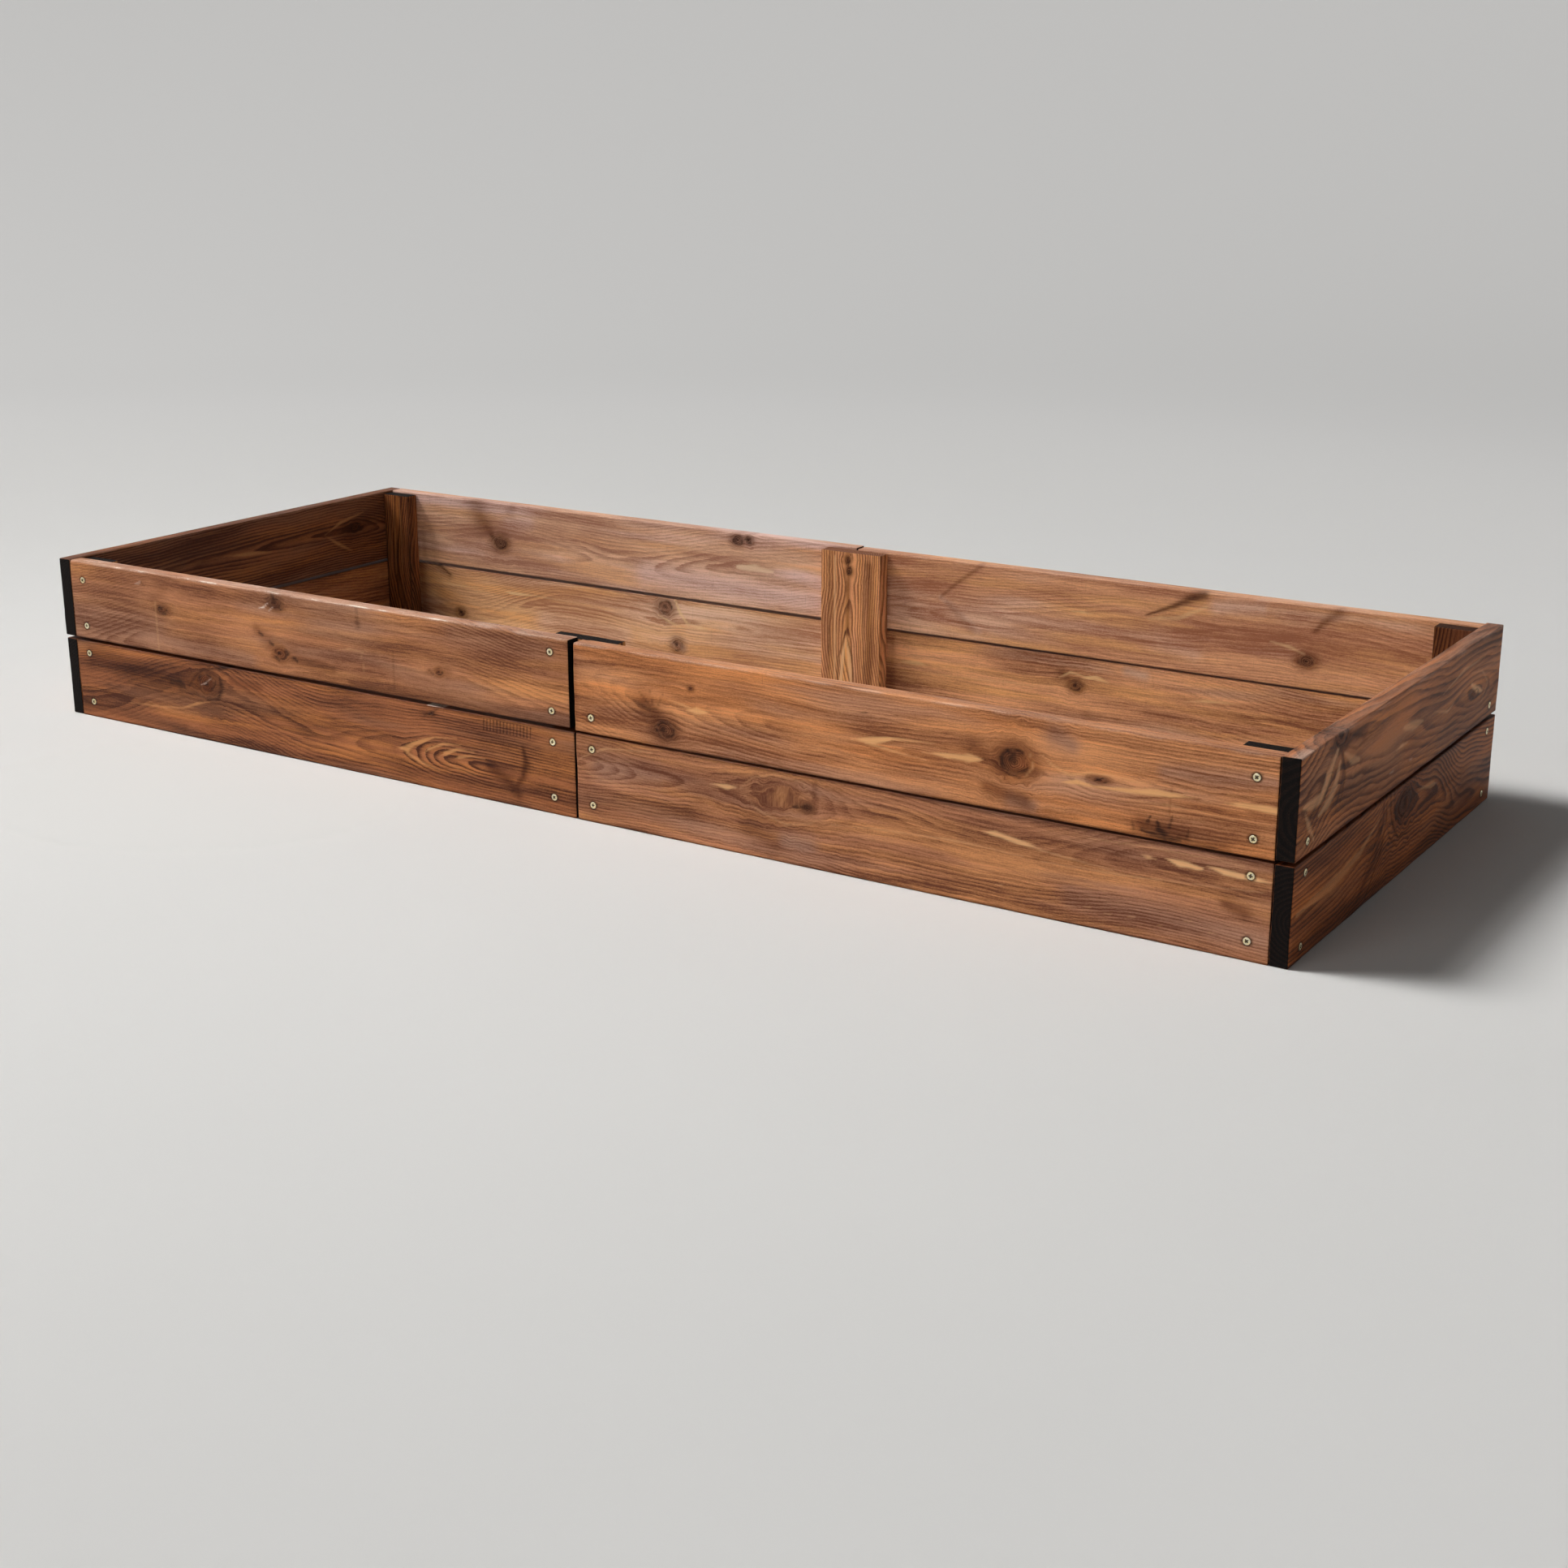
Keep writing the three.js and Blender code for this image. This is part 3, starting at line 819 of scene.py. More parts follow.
GRAIN = {
    "front_upper_left_board": dict(
        tone="red", tint=(1.25, 1.28, 1.25), rim=0.6, rubbed=0.95,
        pith=[(-1200, 120, 50), (-930, 175, 40), (-600, 150, 46), (-300, 190, 40), (0, 150, 44)],
        etch=0.16,
        knots=[(-933, 230, 6, 1.8, 1.0), (-650, 276, 8, 1.6, 1.0), (-281, 205, 5, 1.3, 1.0),
               (-644, 187, 9, 1.5, 1.0)],
        marks=dict(
            shade=[
                (0.35, (-950, 250, 18), (-925, 270, 16)),
                (0.6, (-698, 224, 13), (-664, 202, 22), (-640, 188, 24)),
                (0.6, (-640, 184, 14), (-520, 176, 8)), (0.5, (-305, 204, 6), (-265, 207, 12)),
                (0.55, (-480, 156, 9), (-220, 158, 14), (-10, 160, 10)),
            ],
            grey=[
                (0.8, (-1170, 180, 60), (-960, 185, 60)), (0.7, (-930, 172, 26), (-720, 166, 20)),
                (0.55, (-250, 275, 24), (-60, 272, 26)),
            ],
            glow=[
                (0.8, (-830, 240, 3), (-760, 246, 9), (-690, 238, 3)),
                (0.9, (-655, 205, 8), (-635, 198, 8)),
                (0.7, (-620, 246, 12), (-540, 240, 18), (-470, 242, 8)),
                (0.6, (-440, 222, 12), (-240, 232, 14), (-90, 226, 8)),
            ],
            flame=[
                (0.35, (-951, 244, 1.5), (-952, 152, 1.8)),
                (0.4, (-512, 211, 0.8), (-480, 218, 2), (-450, 216, 2)),
                (0.3, (-455, 214, 1), (-450, 196, 1), (-449, 182, 1)),
            ],
            dark=[
                (0.8, (-941, 236, 2.5), (-934, 226, 5), (-924, 222, 1)),
                (0.4, (-985, 276, 2), (-975, 268, 2)),
                (0.8, (-655, 290, 4), (-646, 272, 4), (-636, 266, 1)),
                *[(0.75, (x, z, 4), (x + 8, z - 5, 2))
                  for x, z in ((-692, 220), (-668, 206), (-656, 180), (-632, 194), (-612, 184))],
                (0.45, (-459, 290, 4), (-457, 258, 6)), (0.25, (-382, 228, 1.5), (-381, 160, 1.8)),
                (0.5, (-303, 206, 2), (-294, 200, 2)),
            ],
            chip=[
                (0.6, (-1000, 270, 1), (-990, 272, 3), (-984, 278, 1)),
                (0.9, (-690, 263, 1), (-677, 266, 3.5), (-668, 274, 1)),
                (0.6, (-664, 262, 2), (-656, 268, 2)), (0.7, (-610, 293, 2), (-400, 293, 2)),
                (0.7, (-860, 293, 2), (-760, 293, 1)),
            ],
        ),
        worn=[(-1000, 295, 12, 1.5), (-520, 295, 60, 1.2), (-1171, 295, 14, 2.0), (-820, 295, 40, 1.0)],
    ),
    "front_upper_right_board": dict(
        tone="amber", tint=(1.31, 1.24, 1.17), rim=0.26, rubbed=0.55,
        pith=[(0, 250, 60), (160, 218, 44), (420, 214, 27), (518, 214, 25), (634, 214, 18), (740, 216, 16),
              (855, 216, 25), (914, 217, 17), (1058, 217, 25), (1078, 217, 26), (1098, 217, 25),
              (1200, 218, 19)],
        spacing=5.0, etch=0.2, finer=[(966, 1074, 2.0)],
        knots=[(177, 177, 12, 1.35, 0.8), (227, 250, 3, 1.5, 1.0), (783, 223, 17, 1.25, 1.0),
               (914, 218, 4, 3.0, 1.0)],
        marks=dict(
            shade=[
                (0.85, (138, 214, 24), (165, 192, 24)), (0.65, (716, 236, 18), (735, 226, 16)),
                (0.8, (740, 180, 14), (800, 168, 16)), (0.4, (845, 270, 20), (870, 264, 14)),
                (0.7, (896, 218, 5), (932, 218, 5)), (0.85, (980, 164, 17), (1044, 160, 16)),
                (0.5, (1040, 162, 14), (1100, 156, 10)), (0.35, (1018, 160, 2), (1021, 226, 2)),
                (0.3, (2, 290, 8), (2, 155, 8)),
            ],
            grey=[
                (0.9, (780, 166, 16), (812, 162, 12)), (0.9, (845, 272, 22), (870, 262, 16)),
                (0.9, (1010, 246, 14), (1090, 250, 18), (1165, 256, 12)),
            ],
            glow=[(0.9, (770, 222, 22), (800, 224, 20))],
            flame=[
                (0.7, (185, 226, 1), (212, 222, 2.5), (236, 216, 1.5)),
                (0.9, (222, 215, 2), (238, 216, 6), (256, 216, 2)),
                (0.4, (250, 220, 1), (340, 224, 1.6), (450, 220, 0.6)),
                (0.3, (262, 208, 1), (360, 203, 1.4), (440, 208, 0.6)),
                (0.9, (516, 215, 0.5), (552, 218, 6), (584, 226, 2.5), (655, 230, 1)),
                (0.8, (540, 213, 2), (590, 207, 2), (640, 203, 0.6)),
                (0.9, (634, 214, 0.5), (676, 215, 4), (712, 217, 6), (730, 218, 2)),
                (0.45, (800, 204, 1.5), (812, 220, 2), (806, 240, 1)),
                (0.7, (826, 240, 0.8), (842, 228, 2), (868, 218, 2), (900, 227, 2), (930, 228, 1.5),
                 (990, 224, 1)),
                (0.9, (858, 206, 1.5), (880, 210, 4), (905, 208, 2), (950, 210, 3.5), (1000, 214, 5),
                 (1058, 217, 0.6)),
                (0.95, (1096, 217, 0.6), (1125, 218, 4), (1172, 219, 5.5)),
                (0.5, (960, 198, 0.8), (1020, 200, 1.6), (1110, 196, 0.6)),
            ],
            dark=[
                (0.45, (116, 216, 1.5), (150, 205, 3)), (0.45, (128, 232, 1), (152, 208, 3)),
                (0.45, (148, 240, 1), (156, 208, 2.5)), (0.4, (175, 236, 1), (162, 208, 2.5)),
                (0.5, (196, 184, 4), (212, 180, 1)), (0.7, (532, 257, 1), (542, 259, 2)),
                (0.85, (781, 232, 6), (785, 224, 4)),
                (0.7, (764, 232, 1.5), (762, 216, 2), (774, 204, 2), (792, 201, 1)),
                (1.0, (1002, 174, 2), (1006, 162, 6), (1014, 155, 7)),
                (0.9, (980, 158, 3), (1010, 154, 5), (1036, 154, 3)),
                (0.75, (1032, 157, 2), (1062, 153, 3), (1092, 152, 1.2)),
                (0.75, (988, 172, 3), (992, 180, 1.5)), (0.65, (1020, 168, 2.5), (1024, 186, 1.2)),
                (0.55, (1046, 158, 3), (1048, 170, 1.2)), (0.55, (968, 158, 3), (966, 166, 1.5)),
            ],
        ),
        worn=[(8, 295, 7, 4.0), (100, 295, 30, 1.6), (140, 295, 10, 1.5), (1190, 295, 12, 2.0)],
    ),
    "front_lower_left_board": dict(
        tone="deep", tint=(1.17, 1.15, 1.01),
        pith=[(-1200, 20, 40), (-833, 109, 40), (-560, 50, 46), (-382, 60, 36), (-254, 60, 16),
              (-190, 58, 11), (0, 52, 10)],
        spacing=4.8, etch=0.3, finer=[(-196, -80, 1.3)],
        knots=[(-833, 108, 15, 1.3, 1.0), (-302, 132, 3, 1.5, 0.6)],
        marks=dict(
            shade=[
                (0.75, (-1130, 118, 26), (-940, 100, 30), (-830, 108, 36)),
                (0.45, (-1165, 20, 16), (-900, 16, 14)), (0.6, (-770, 120, 12), (-700, 118, 8)),
                (0.75, (-180, 60, 12), (-140, 40, 16), (-120, 20, 12)),
                (0.8, (-108, 102, 5), (-102, 76, 9), (-110, 52, 8), (-134, 24, 6)),
                (0.4, (-320, 132, 10), (-295, 134, 10)),
            ],
            glow=[
                (0.95, (-1170, 54, 5), (-1050, 52, 9), (-945, 48, 4)),
                (0.8, (-660, 52, 4), (-590, 54, 10), (-520, 50, 4)), (0.6, (-510, 66, 10), (-400, 62, 12)),
            ],
            etch=[(0.95, (-360, 60, 40), (-200, 58, 46)), (0.5, (-780, 80, 40), (-520, 40, 40))],
            flame=[
                (0.6, (-1040, 42, 0.8), (-960, 46, 2.5), (-900, 52, 2), (-862, 66, 3), (-830, 74, 0.8)),
                (0.5, (-990, 52, 0.6), (-930, 40, 1.5), (-860, 50, 0.6)),
                (0.85, (-382, 60, 0.6), (-362, 60, 7), (-345, 72, 4), (-300, 90, 2), (-250, 96, 0.8)),
                (0.6, (-362, 54, 4), (-330, 42, 3), (-290, 34, 1)),
                (0.8, (-322, 60, 0.6), (-312, 68, 3), (-280, 82, 2.5), (-240, 86, 1)),
                (0.8, (-286, 60, 0.6), (-276, 66, 3.5), (-250, 77, 2.5), (-215, 78, 0.8)),
                (0.7, (-254, 60, 0.6), (-246, 64, 3), (-222, 70, 2), (-190, 70, 0.6)),
                (0.5, (-280, 52, 1), (-250, 44, 1.8), (-210, 40, 0.6)),
            ],
            dark=[
                (0.8, (-925, 98, 5), (-905, 98, 9), (-890, 92, 3)),
                (0.85, (-800, 122, 3), (-796, 104, 7), (-806, 84, 4), (-835, 76, 2)),
                (0.9, (-800, 138, 4), (-782, 143, 4), (-770, 146, 1)),
                (0.6, (-880, 96, 3), (-862, 116, 3), (-840, 132, 2), (-806, 138, 2)),
                (0.35, (-106, 96, 3), (-103, 76, 5), (-110, 56, 4)),
                *[(0.7, (x, 121, 1.3), (x + 1, 139, 1.5)) for x in range(-190, -86, 7)],
                (0.5, (-318, 126, 2), (-300, 134, 3), (-290, 140, 2)),
                (0.4, (-1160, 26, 6), (-1140, 24, 4)),
            ],
            chip=[
                (0.55, (-850, 102, 0.6), (-836, 108, 1.8), (-822, 118, 0.6)),
                (0.95, (-312, 145, 1.5), (-278, 146, 2)),
            ],
        ),
        worn=[(-285, 147, 14, 1.6), (-500, 147, 60, 0.8)],
    ),
    "front_lower_right_board": dict(
        tone="red", tint=(1.24, 1.30, 1.36),
        pith=[(0, 96, 8), (150, 98, 26), (240, 104, 30), (390, 106, 22), (560, 90, 40), (760, 84, 44),
              (1010, 118, 28), (1200, 112, 22)],
        spacing=5.0, etch=0.28, swirls=[(392, 104, 15, 2.2, 0.9)],
        knots=[(438, 95, 6, 1.3, 1.0)],
        marks=dict(
            shade=[
                (0.4, (10, 30, 24), (120, 34, 24), (220, 50, 16)), (0.6, (330, 46, 20), (380, 28, 22)),
                (0.45, (452, 140, 5), (450, 90, 6)), (0.75, (1106, 76, 10), (1134, 68, 14)),
            ],
            grey=[
                (0.8, (50, 96, 30), (160, 100, 20)), (0.95, (400, 36, 20), (440, 34, 22)),
                (0.7, (880, 40, 26), (1160, 34, 26)),
            ],
            glow=[
                (1.0, (352, 108, 20), (416, 100, 22)), (1.0, (340, 106, 26), (410, 102, 34)),
                (1.0, (340, 104, 20), (410, 104, 26)), (0.6, (1020, 112, 16), (1160, 106, 16)),
            ],
            etch=[(0.4, (480, 40, 40), (900, 40, 40))],
            flame=[
                (0.5, (0, 96, 0.6), (16, 108, 1.4), (60, 128, 2), (150, 136, 0.8)),
                (0.4, (0, 92, 0.6), (30, 80, 1.4), (90, 72, 1.2), (180, 78, 0.6)),
                (0.35, (22, 96, 0.6), (50, 106, 1.2), (110, 114, 0.8)),
                (0.75, (262, 104, 0.6), (290, 104, 4.5), (312, 106, 1)),
                (0.3, (318, 106, 0.6), (338, 126, 1.8), (380, 138, 2), (430, 134, 1.6), (446, 112, 0.8)),
                (0.3, (322, 98, 0.6), (350, 76, 2), (400, 62, 2.4), (440, 70, 1.6), (462, 82, 0.8)),
                (0.85, (735, 112, 0.6), (756, 112, 5), (792, 107, 4), (830, 102, 1)),
                (0.5, (790, 104, 1), (860, 98, 2), (940, 92, 0.8)),
                (0.5, (480, 76, 0.8), (560, 84, 1.6), (700, 90, 1.8), (800, 86, 0.8)),
                (0.45, (830, 84, 0.8), (960, 88, 1.8), (1160, 102, 0.8)),
                (0.8, (980, 123, 0.8), (992, 121, 3), (1002, 120, 0.8)),
                (1.0, (1018, 124, 1.5), (1040, 120, 5), (1070, 119, 2.5)),
                (1.0, (1078, 124, 1.5), (1105, 120, 4.5), (1150, 118, 3), (1172, 118, 1)),
                (0.5, (900, 132, 0.6), (1000, 136, 1.6), (1130, 134, 0.8)),
                *[(0.5, (x, z, 1.0), (x + 9, z + 1, 1.4))
                  for x, z in ((898, 30), (930, 26), (966, 29), (1008, 25), (1050, 40), (760, 36), (700, 58),
                               (1084, 30))],
            ],
            dark=[(0.95, (428, 94, 2.5), (438, 96, 5), (446, 96, 2)), (0.8, (412, 93, 2), (420, 94, 3.5))],
        ),
        worn=[(1190, 147, 10, 1.0), (260, 147, 20, 0.8)],
    ),
    "back_upper_left_board": dict(
        # The high tint makes the inner face lighter: paler wood together with painted light.
        ends=DRIER_ENDS, tone="amber", tint=(2.40, 3.15, 4.60),
        pith=[(-1200, 200, 44), (-882, 211, 34), (-560, 200, 46), (-236, 230, 30), (0, 260, 30)],
        inner_face=True, etch=0.25,
        knots=[(-876, 210, 12, 1.3, 1.0), (-275, 281, 8, 1.4, 1.0), (-250, 283, 7, 1.1, 1.0)],
        marks=dict(
            shade=[
                (0.7, (-940, 294, 36), (-926, 256, 30), (-898, 228, 14)),
                (0.4, (-848, 282, 14), (-842, 290, 14)), (0.35, (-1090, 220, 10), (-1088, 160, 10)),
                (0.4, (-300, 216, 2), (-236, 214, 2.5), (-180, 218, 2)),
            ],
            grey=[(0.5, (-850, 250, 24), (-800, 262, 20)), (0.6, (-500, 190, 30), (-100, 180, 30))],
            glow=[
                (1.0, (-930, 292, 44), (-916, 250, 40), (-880, 206, 30)),
                (0.9, (-892, 218, 10), (-862, 206, 12)), (0.8, (-700, 190, 18), (-560, 184, 14)),
                (0.5, (-800, 240, 20), (-640, 245, 20)),
            ],
            etch=[(0.55, (-640, 216, 40), (-300, 224, 30))],
            flame=[(0.7, (-276, 228, 4), (-236, 229, 8), (-196, 227, 3))],
            dark=[(0.5, (-904, 226, 2), (-892, 219, 5), (-884, 216, 3))],
        ),
    ),
    "back_lower_left_board": dict(
        # The high tint makes the inner face lighter: paler wood together with painted light.
        tone="amber", tint=(2.60, 3.20, 3.65),
        pith=[(-1200, 90, 26), (-980, 40, 30), (-700, 108, 20), (-440, 100, 18), (0, 108, 22)],
        inner_face=True, etch=0.3,
        knots=[(-992, 48, 7, 1.4, 1.0), (-452, 126, 14, 1.1, 1.0), (-424, 51, 11, 1.0, 1.0)],
        marks=dict(
            shade=[
                # The first of these is painted shadow beside the left post.
                (0.9, (-1100, 150, 20), (-1096, 10, 28)), (0.55, (-1060, 150, 10), (-1020, 126, 10)),
                (0.35, (-550, 142, 1.5), (-500, 130, 3), (-464, 122, 4)),
            ],
            grey=[(0.7, (-436, 56, 12), (-412, 48, 12)), (0.6, (-760, 60, 30), (-560, 50, 30))],
            glow=[
                (1.0, (-1080, 120, 24), (-1000, 60, 30)),
                *[(1.0, (x, 108 + 3 * (-1) ** i, 3), (x + 52, 108 - 2 * (-1) ** i, 7))
                  for i, x in enumerate(range(-1068, -640, 62))],
                (1.0, (-456, 130, 26), (-420, 92, 22)), (0.9, (-360, 98, 4), (-290, 92, 9), (-160, 94, 4)),
            ],
            etch=[(0.6, (-900, 100, 30), (-300, 96, 34))],
            flame=[
                (0.6, (-1060, 110, 1), (-1010, 106, 3), (-940, 108, 1)),
                (0.7, (-870, 108, 1), (-846, 107, 4), (-790, 109, 1.5), (-640, 106, 1)),
                (0.7, (-430, 146, 2), (-416, 118, 3.5), (-396, 94, 2)),
                (0.5, (-470, 108, 2), (-440, 96, 3), (-414, 88, 2)),
                (0.6, (-400, 100, 1), (-372, 94, 3), (-340, 96, 1)),
            ],
            dark=[
                (0.8, (-1056, 146, 1.5), (-1040, 142, 2.5), (-1016, 126, 1.5)),
                (0.6, (-998, 56, 2), (-988, 44, 4)),
            ],
        ),
    ),
    "back_upper_right_board": dict(
        # The high tint makes the inner face lighter: paler wood together with painted light.
        ends=DRIER_ENDS, tone="red", tint=(2.75, 3.40, 3.80),
        pith=[(0, 180, 40), (230, 190, 26), (600, 230, 24), (900, 240, 30), (1200, 210, 34)],
        inner_face=True, etch=0.25,
        knots=[(884, 196, 9, 1.4, 1.0)],
        marks=dict(
            shade=[
                (0.6, (176, 222, 3), (212, 254, 5), (260, 290, 6)), (0.35, (190, 214, 6), (240, 172, 14)),
                (0.85, (588, 240, 2), (640, 262, 7), (690, 290, 15)),
                (0.75, (896, 250, 5), (914, 270, 9), (936, 288, 13)),
            ],
            grey=[
                (0.9, (176, 222, 8), (220, 196, 18), (256, 172, 16)), (0.9, (720, 270, 16), (800, 278, 18)),
                (0.6, (610, 200, 26), (680, 184, 18)),
            ],
            glow=[
                (0.9, (600, 236, 8), (650, 252, 12), (700, 284, 12)),
                (0.6, (900, 190, 12), (1080, 200, 14)),
            ],
            flame=[
                (0.35, (592, 234, 2), (650, 242, 5), (700, 268, 3)),
                (0.6, (442, 229, 1.2), (466, 229, 2.4), (486, 228, 1.2)),
                (0.5, (820, 222, 2), (850, 218, 3), (880, 208, 2)),
            ],
            dark=[(0.5, (592, 241, 1.2), (640, 262, 4), (694, 289, 9))],
        ),
    ),
    "back_lower_right_board": dict(
        # The high tint makes the inner face lighter: paler wood together with painted light.
        tone="red", tint=(1.76, 2.02, 2.07),
        pith=[(0, 80, 34), (300, 90, 30), (600, 96, 26), (900, 60, 34), (1200, 80, 36)],
        inner_face=True, etch=0.22,
        knots=[(457, 92, 8, 1.3, 1.0)],
        marks=dict(
            shade=[
                (0.7, (428, 112, 12), (456, 96, 9)), (0.4, (480, 40, 14), (500, 26, 16)),
                (0.5, (74, 130, 10), (74, 10, 12)),
            ],
            grey=[(0.9, (556, 134, 12), (590, 130, 12))],
            flame=[
                (0.7, (424, 104, 1.2), (446, 116, 2.5), (474, 112, 2)),
                (0.8, (470, 110, 1.5), (496, 113, 5), (520, 108, 1.5)),
                (0.6, (668, 94, 1.2), (706, 100, 3), (760, 104, 1.2)),
                (0.5, (96, 88, 2), (126, 90, 5), (150, 88, 1.5)),
                (0.35, (140, 72, 1.2), (280, 78, 1.8), (420, 84, 1.2)),
            ],
        ),
    ),
    "right_end_upper_board": dict(
        # Its tint paints in the dim, warm shade that the right end stands in.
        tone="grey", tint=(1.24, 0.84, 0.55),
        pith=[(-450, 215, 18), (-300, 268, 34), (-60, 240, 34), (200, 214, 22), (318, 209, 8),
              (450, 209, 30)],
        spacing=11.0, wander=1.3, etch=0.5,
        knots=[(-300, 290, 14, 1.6, 1.0), (318, 209, 6, 3.2, 1.0)],
        marks=dict(
            shade=[
                (0.75, (-352, 216, 3), (-346, 228, 3), (-362, 236, 2)),
                (0.85, (-298, 268, 3), (-286, 246, 6), (-284, 222, 7), (-306, 192, 3)),
                (0.6, (-330, 286, 16), (-200, 272, 12)), (0.45, (-450, 298, 6), (450, 298, 6)),
            ],
            grey=[
                (1.0, (-430, 250, 30), (-330, 262, 30)), (0.9, (-250, 210, 36), (-60, 200, 40)),
                (0.5, (150, 170, 20), (420, 176, 20)), (1.0, (-450, 298, 8), (450, 298, 8)),
            ],
            flame=[
                (0.5, (-430, 222, 3), (-400, 218, 8), (-366, 220, 9), (-344, 240, 11), (-312, 272, 5)),
                (0.45, (-372, 196, 3), (-336, 206, 9), (-312, 222, 9), (-300, 252, 4)),
                (0.4, (-424, 212, 2), (-406, 190, 6), (-384, 166, 3)),
                (0.4, (-285, 262, 2), (-250, 244, 8), (-220, 236, 3)),
                (0.7, (-58, 209, 1), (-34, 210, 3), (-4, 209, 1)),
                (0.45, (-30, 236, 4), (10, 230, 8), (60, 226, 2)),
                (0.5, (110, 228, 1), (180, 212, 3), (212, 220, 1)),
                (0.75, (296, 228, 3), (330, 214, 7), (362, 204, 1)),
                (0.5, (290, 248, 1), (350, 240, 2), (386, 214, 1.5), (360, 188, 1)),
                (0.5, (150, 246, 1), (250, 262, 3), (360, 262, 1)),
            ],
            dark=[
                (0.5, (-436, 212, 2), (-404, 204, 2), (-372, 208, 2), (-344, 226, 2.5), (-316, 262, 2)),
                (0.4, (-420, 234, 1.5), (-384, 232, 2), (-360, 246, 2), (-330, 276, 1.5)),
                (0.6, (-300, 274, 1), (-286, 252, 3), (-276, 226, 4), (-290, 190, 1)),
                (0.6, (-270, 284, 2), (-210, 268, 4), (-150, 264, 1)),
                (0.55, (-280, 270, 1), (-236, 256, 3), (-170, 262, 1)),
            ],
            chip=[
                (0.5, (-82, 180, 1), (-66, 180, 2)), (0.6, (8, 178, 1), (18, 177, 2)),
                (0.7, (-452, 296, 4), (-404, 296, 3)),
            ],
        ),
    ),
    "right_end_lower_board": dict(
        # Its tint paints in the dim, warm shade that the right end stands in.
        tone="grey", tint=(1.08, 0.66, 0.38),
        pith=[(-450, 66, 9), (-300, 68, 12), (-140, 84, 16), (-60, 112, 20), (0, 110, 14), (130, 100, 22),
              (300, 40, 40), (450, 20, 44)],
        spacing=6.5, wander=1.0, etch=0.6,
        knots=[(4, 111, 19, 1.5, 1.0)],
        marks=dict(
            shade=[
                (0.8, (-96, 148, 4), (-92, 112, 8), (-118, 62, 10), (-190, 14, 8)),
                (0.6, (-30, 90, 26), (20, 84, 24)), (0.55, (-440, 16, 16), (0, 12, 18), (440, 12, 16)),
            ],
            glow=[(0.9, (0, 114, 14), (14, 108, 12))],
            flame=[
                (0.3, (-430, 72, 4), (-300, 76, 9), (-190, 88, 7), (-102, 122, 1)),
                (0.4, (60, 118, 1), (130, 108, 6), (154, 104, 1)),
            ],
            dark=[
                (0.6, (-84, 146, 2), (-80, 106, 3), (-98, 62, 3.5), (-150, 10, 2)),
                (0.5, (-108, 144, 1.5), (-106, 112, 2.5), (-136, 66, 3), (-210, 24, 1.5)),
                (0.7, (-66, 146, 2), (-62, 118, 3), (-48, 90, 4), (-20, 66, 3), (24, 60, 1)),
                (0.6, (-50, 146, 1), (-46, 118, 2), (-34, 98, 3), (-6, 80, 2)),
                (0.55, (-80, 130, 1), (-76, 104, 2), (-60, 76, 3), (-30, 56, 1)),
            ],
        ),
    ),
    "left_end_upper_board": dict(
        tint=(0.56, 0.46, 0.37),
        pith=[(-430, 225, 24), (-71, 232, 20), (304, 234, 12), (430, 220, 24)],
        inner_face=True, wander=1.6, etch=0.7, rim=0.08, rubbed=0.2,
        worn=[(-300, 295, 60, 0.9), (-180, 295, 40, 0.7)],
        knots=[(304, 234, 8, 1.6, 1.0)],
        marks=dict(
            shade=[(0.6, (280, 234, 30), (330, 234, 30))],
            flame=[
                (0.6, (211, 231, 0.8), (260, 250, 4), (330, 262, 1.5)),
                (0.6, (211, 231, 0.8), (250, 206, 4), (290, 185, 1.5)),
                (0.6, (-71, 235, 0.8), (0, 228, 5), (59, 222, 1.5)),
                (0.4, (-150, 285, 1), (-100, 286, 2), (-50, 284, 1)),
            ],
        ),
    ),
    "left_end_lower_board": dict(
        tint=(0.98, 0.88, 0.74),
        pith=[(-430, 60, 30), (0, 80, 26), (430, 50, 34)],
        inner_face=True,
    ),
}

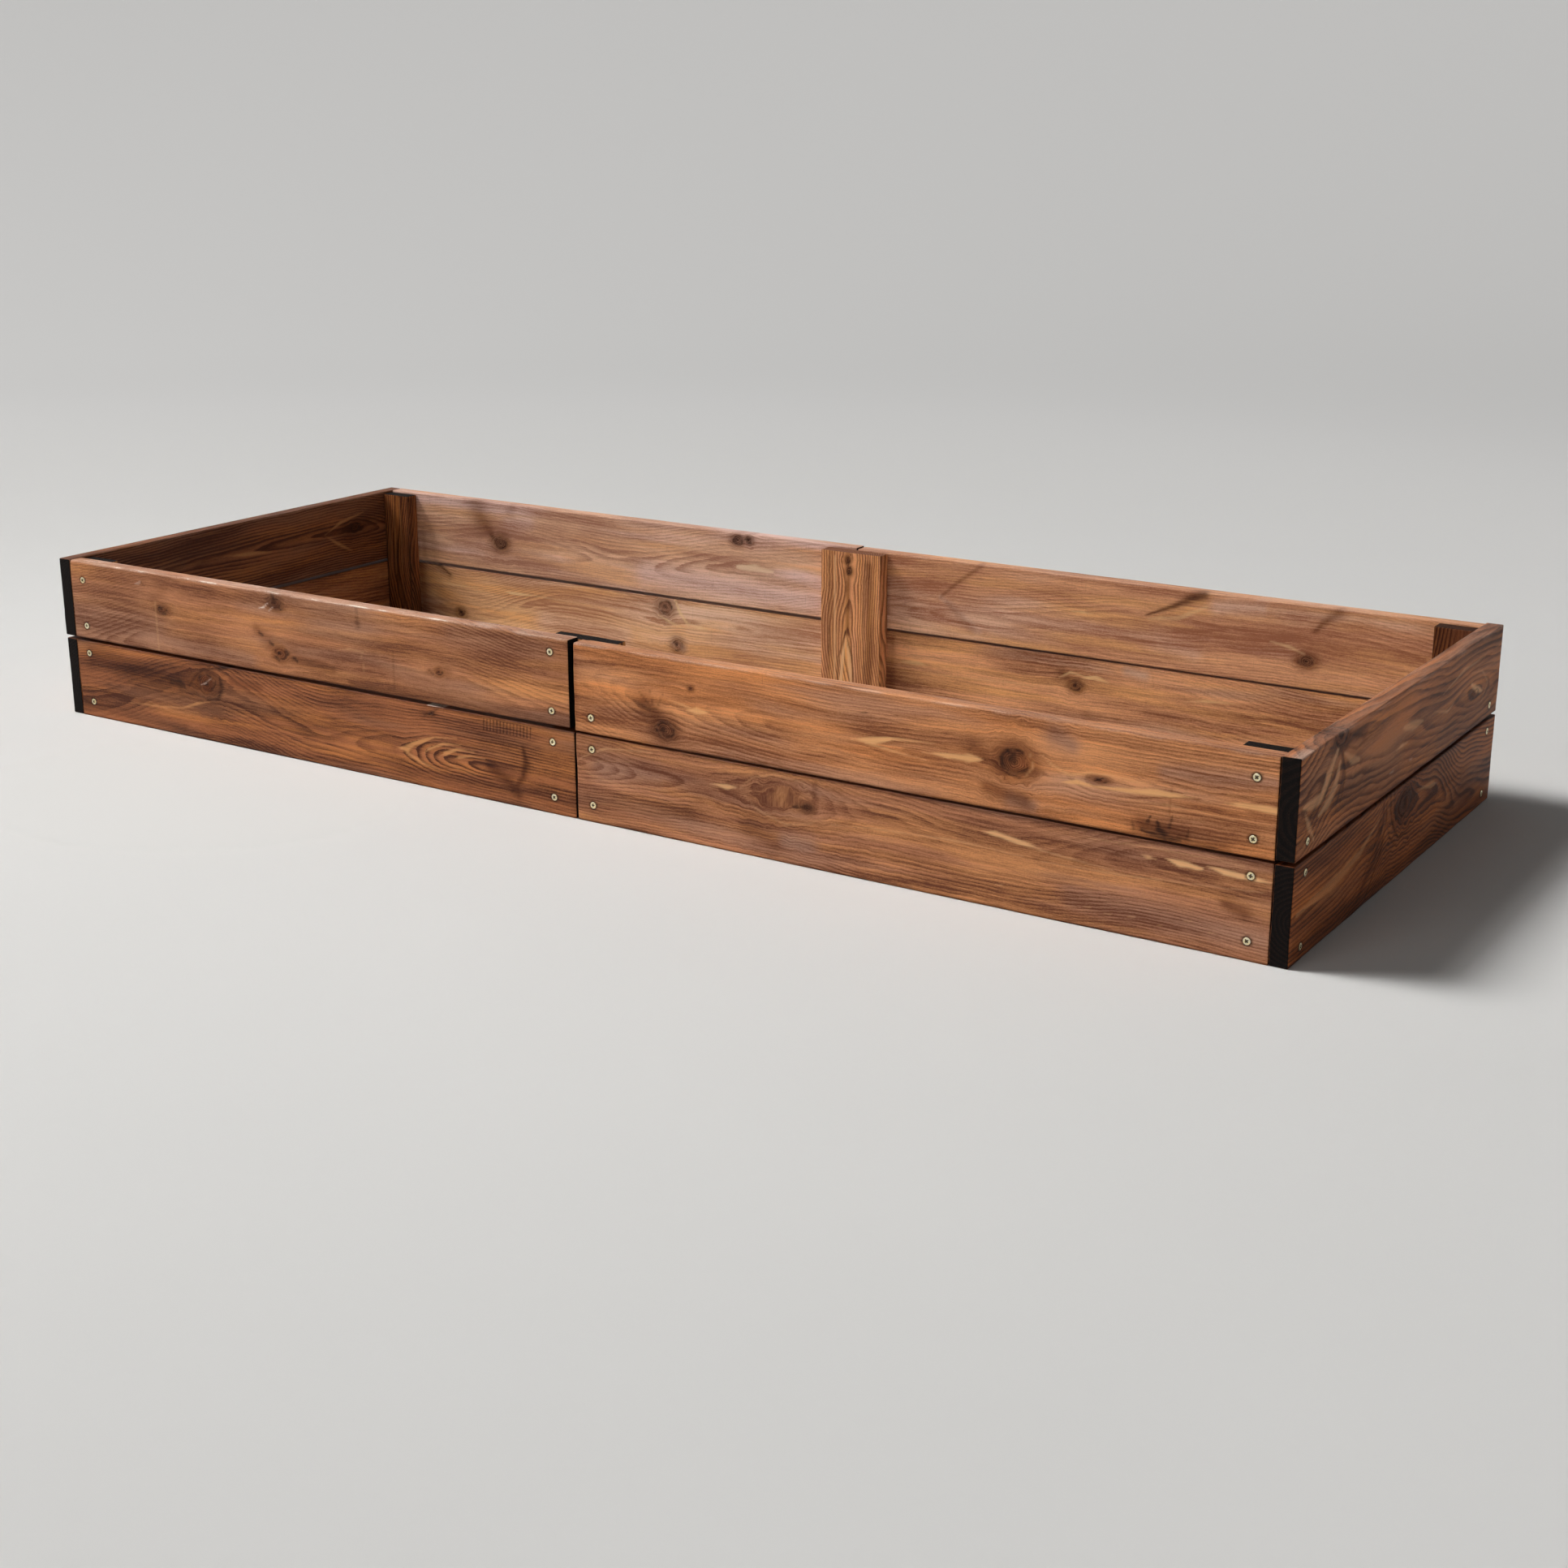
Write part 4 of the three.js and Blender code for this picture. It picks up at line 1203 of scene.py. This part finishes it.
# what sets a post apart from the others
POST_GRAIN = {
    "back_middle_post": dict(
        ends=BARE_ENDS, etch=0.9, tint=(2.60, 2.85, 3.35),
        pith=[(0, 4, 14), (110, -10, 9), (150, -12, 14), (230, -6, 22), (290, -4, 20)],
        knots=[(256, -5, 6, 1.4, 1.0), (276, -8, 6, 1.2, 1.0)],
        marks=dict(
            shade=[(0.7, (20, 40, 9), (270, 40, 9)), (0.8, (136, -8, 6), (240, -6, 7), (290, -8, 10))],
            glow=[(1.0, (20, -12, 12), (90, -12, 10), (124, -11, 1)), (0.8, (20, 22, 8), (280, 20, 8))],
            flame=[
                (0.8, (10, -24, 3), (90, -18, 3.5), (128, -11, 1.2), (90, -4, 3.5), (10, 4, 3)),
                (0.6, (20, -36, 2.5), (280, -36, 2.5)),
            ],
            dark=[
                (0.6, (10, -31, 1.5), (90, -26, 2), (138, -12, 1.5), (90, 3, 2), (10, 11, 1.5)),
                (0.5, (20, 30, 1.5), (160, 27, 2), (285, 31, 1.5)), (0.5, (20, -48, 1.5), (280, -50, 1.5)),
            ],
        ),
    ),
    "back_left_post": dict(
        tint=(0.62, 0.5, 0.42),
        marks=dict(
            glow=[(1.0, (14, -1150, 12), (40, -1148, 6))],
            flame=[(0.45, (120, x, 1.5), (200, x + 2, 2.5), (286, x, 1.5)) for x in (-1160, -1146, -1128)],
            dark=[(0.6, (10, -1170, 4), (286, -1171, 4)), (0.6, (10, -1106, 3), (286, -1105, 3))],
        ),
    ),
    "back_right_post": dict(tint=(0.42, 0.34, 0.3), ends=DRIER_ENDS),
}


def post_grain(node):
    """A post's heart runs up it, a little off its middle line."""
    low, high = box_mm(node)
    middle = (low[0] + high[0]) / 2
    heart = [(0, middle + 16, 16), (150, middle - 8, 18), (300, middle + 10, 14)]
    tone = dict(tone="post", spacing=5.0, arris=1.6, rubbed=0.15, etch=0.7)
    return dict(pith=heart, inner_face=True, **tone)


TONES = {  # light and dark stain, the warm and the grey shifts, and the pale flames
    "red": (rgb(190, 127, 88), rgb(98, 54, 35), rgb(206, 139, 84), rgb(166, 124, 102), rgb(230, 174, 120)),
    "deep": (rgb(170, 106, 71), rgb(75, 39, 25), rgb(194, 124, 71), rgb(140, 98, 78), rgb(208, 148, 98)),
    "amber": (
        rgb(206, 145, 98), rgb(110, 65, 41), rgb(216, 143, 85), rgb(180, 138, 114), rgb(236, 182, 126)),
    "grey": (rgb(180, 132, 98), rgb(76, 48, 35), rgb(184, 134, 88), rgb(160, 126, 106), rgb(232, 208, 182)),
    "post": (rgb(200, 134, 84), rgb(96, 56, 32), rgb(216, 146, 80), rgb(160, 114, 86), rgb(238, 180, 120)),
}


def make_timbers(screws):
    """All twelve boards and six posts."""
    outward = {"front": -1, "back": 1, "left": -1, "right": 1}
    for seed, node in enumerate(sorted(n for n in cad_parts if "_screw_" not in n), start=1):
        side = node.split("_")[0]
        if node.endswith("_post"):
            kind, slot = "post", "post_wood"
            grain = dict(post_grain(node), **POST_GRAIN.get(node, {}))
        else:
            kind = "end" if "_end_" in node else "side"
            slot, grain = kind + "_board_wood", GRAIN[node]
        tint, tones = grain.get("tint", (1, 1, 1)), TONES[grain.get("tone", "red")]
        wood = wood_material(node + "_wood", tint, grain.get("ends", SOAKED_ENDS), *tones)
        Timber(node, kind, outward[side], grain, seed).build(wood, screws)


make_camera()
make_light()
make_floor()
make_timbers(make_screws(zinc_material()))
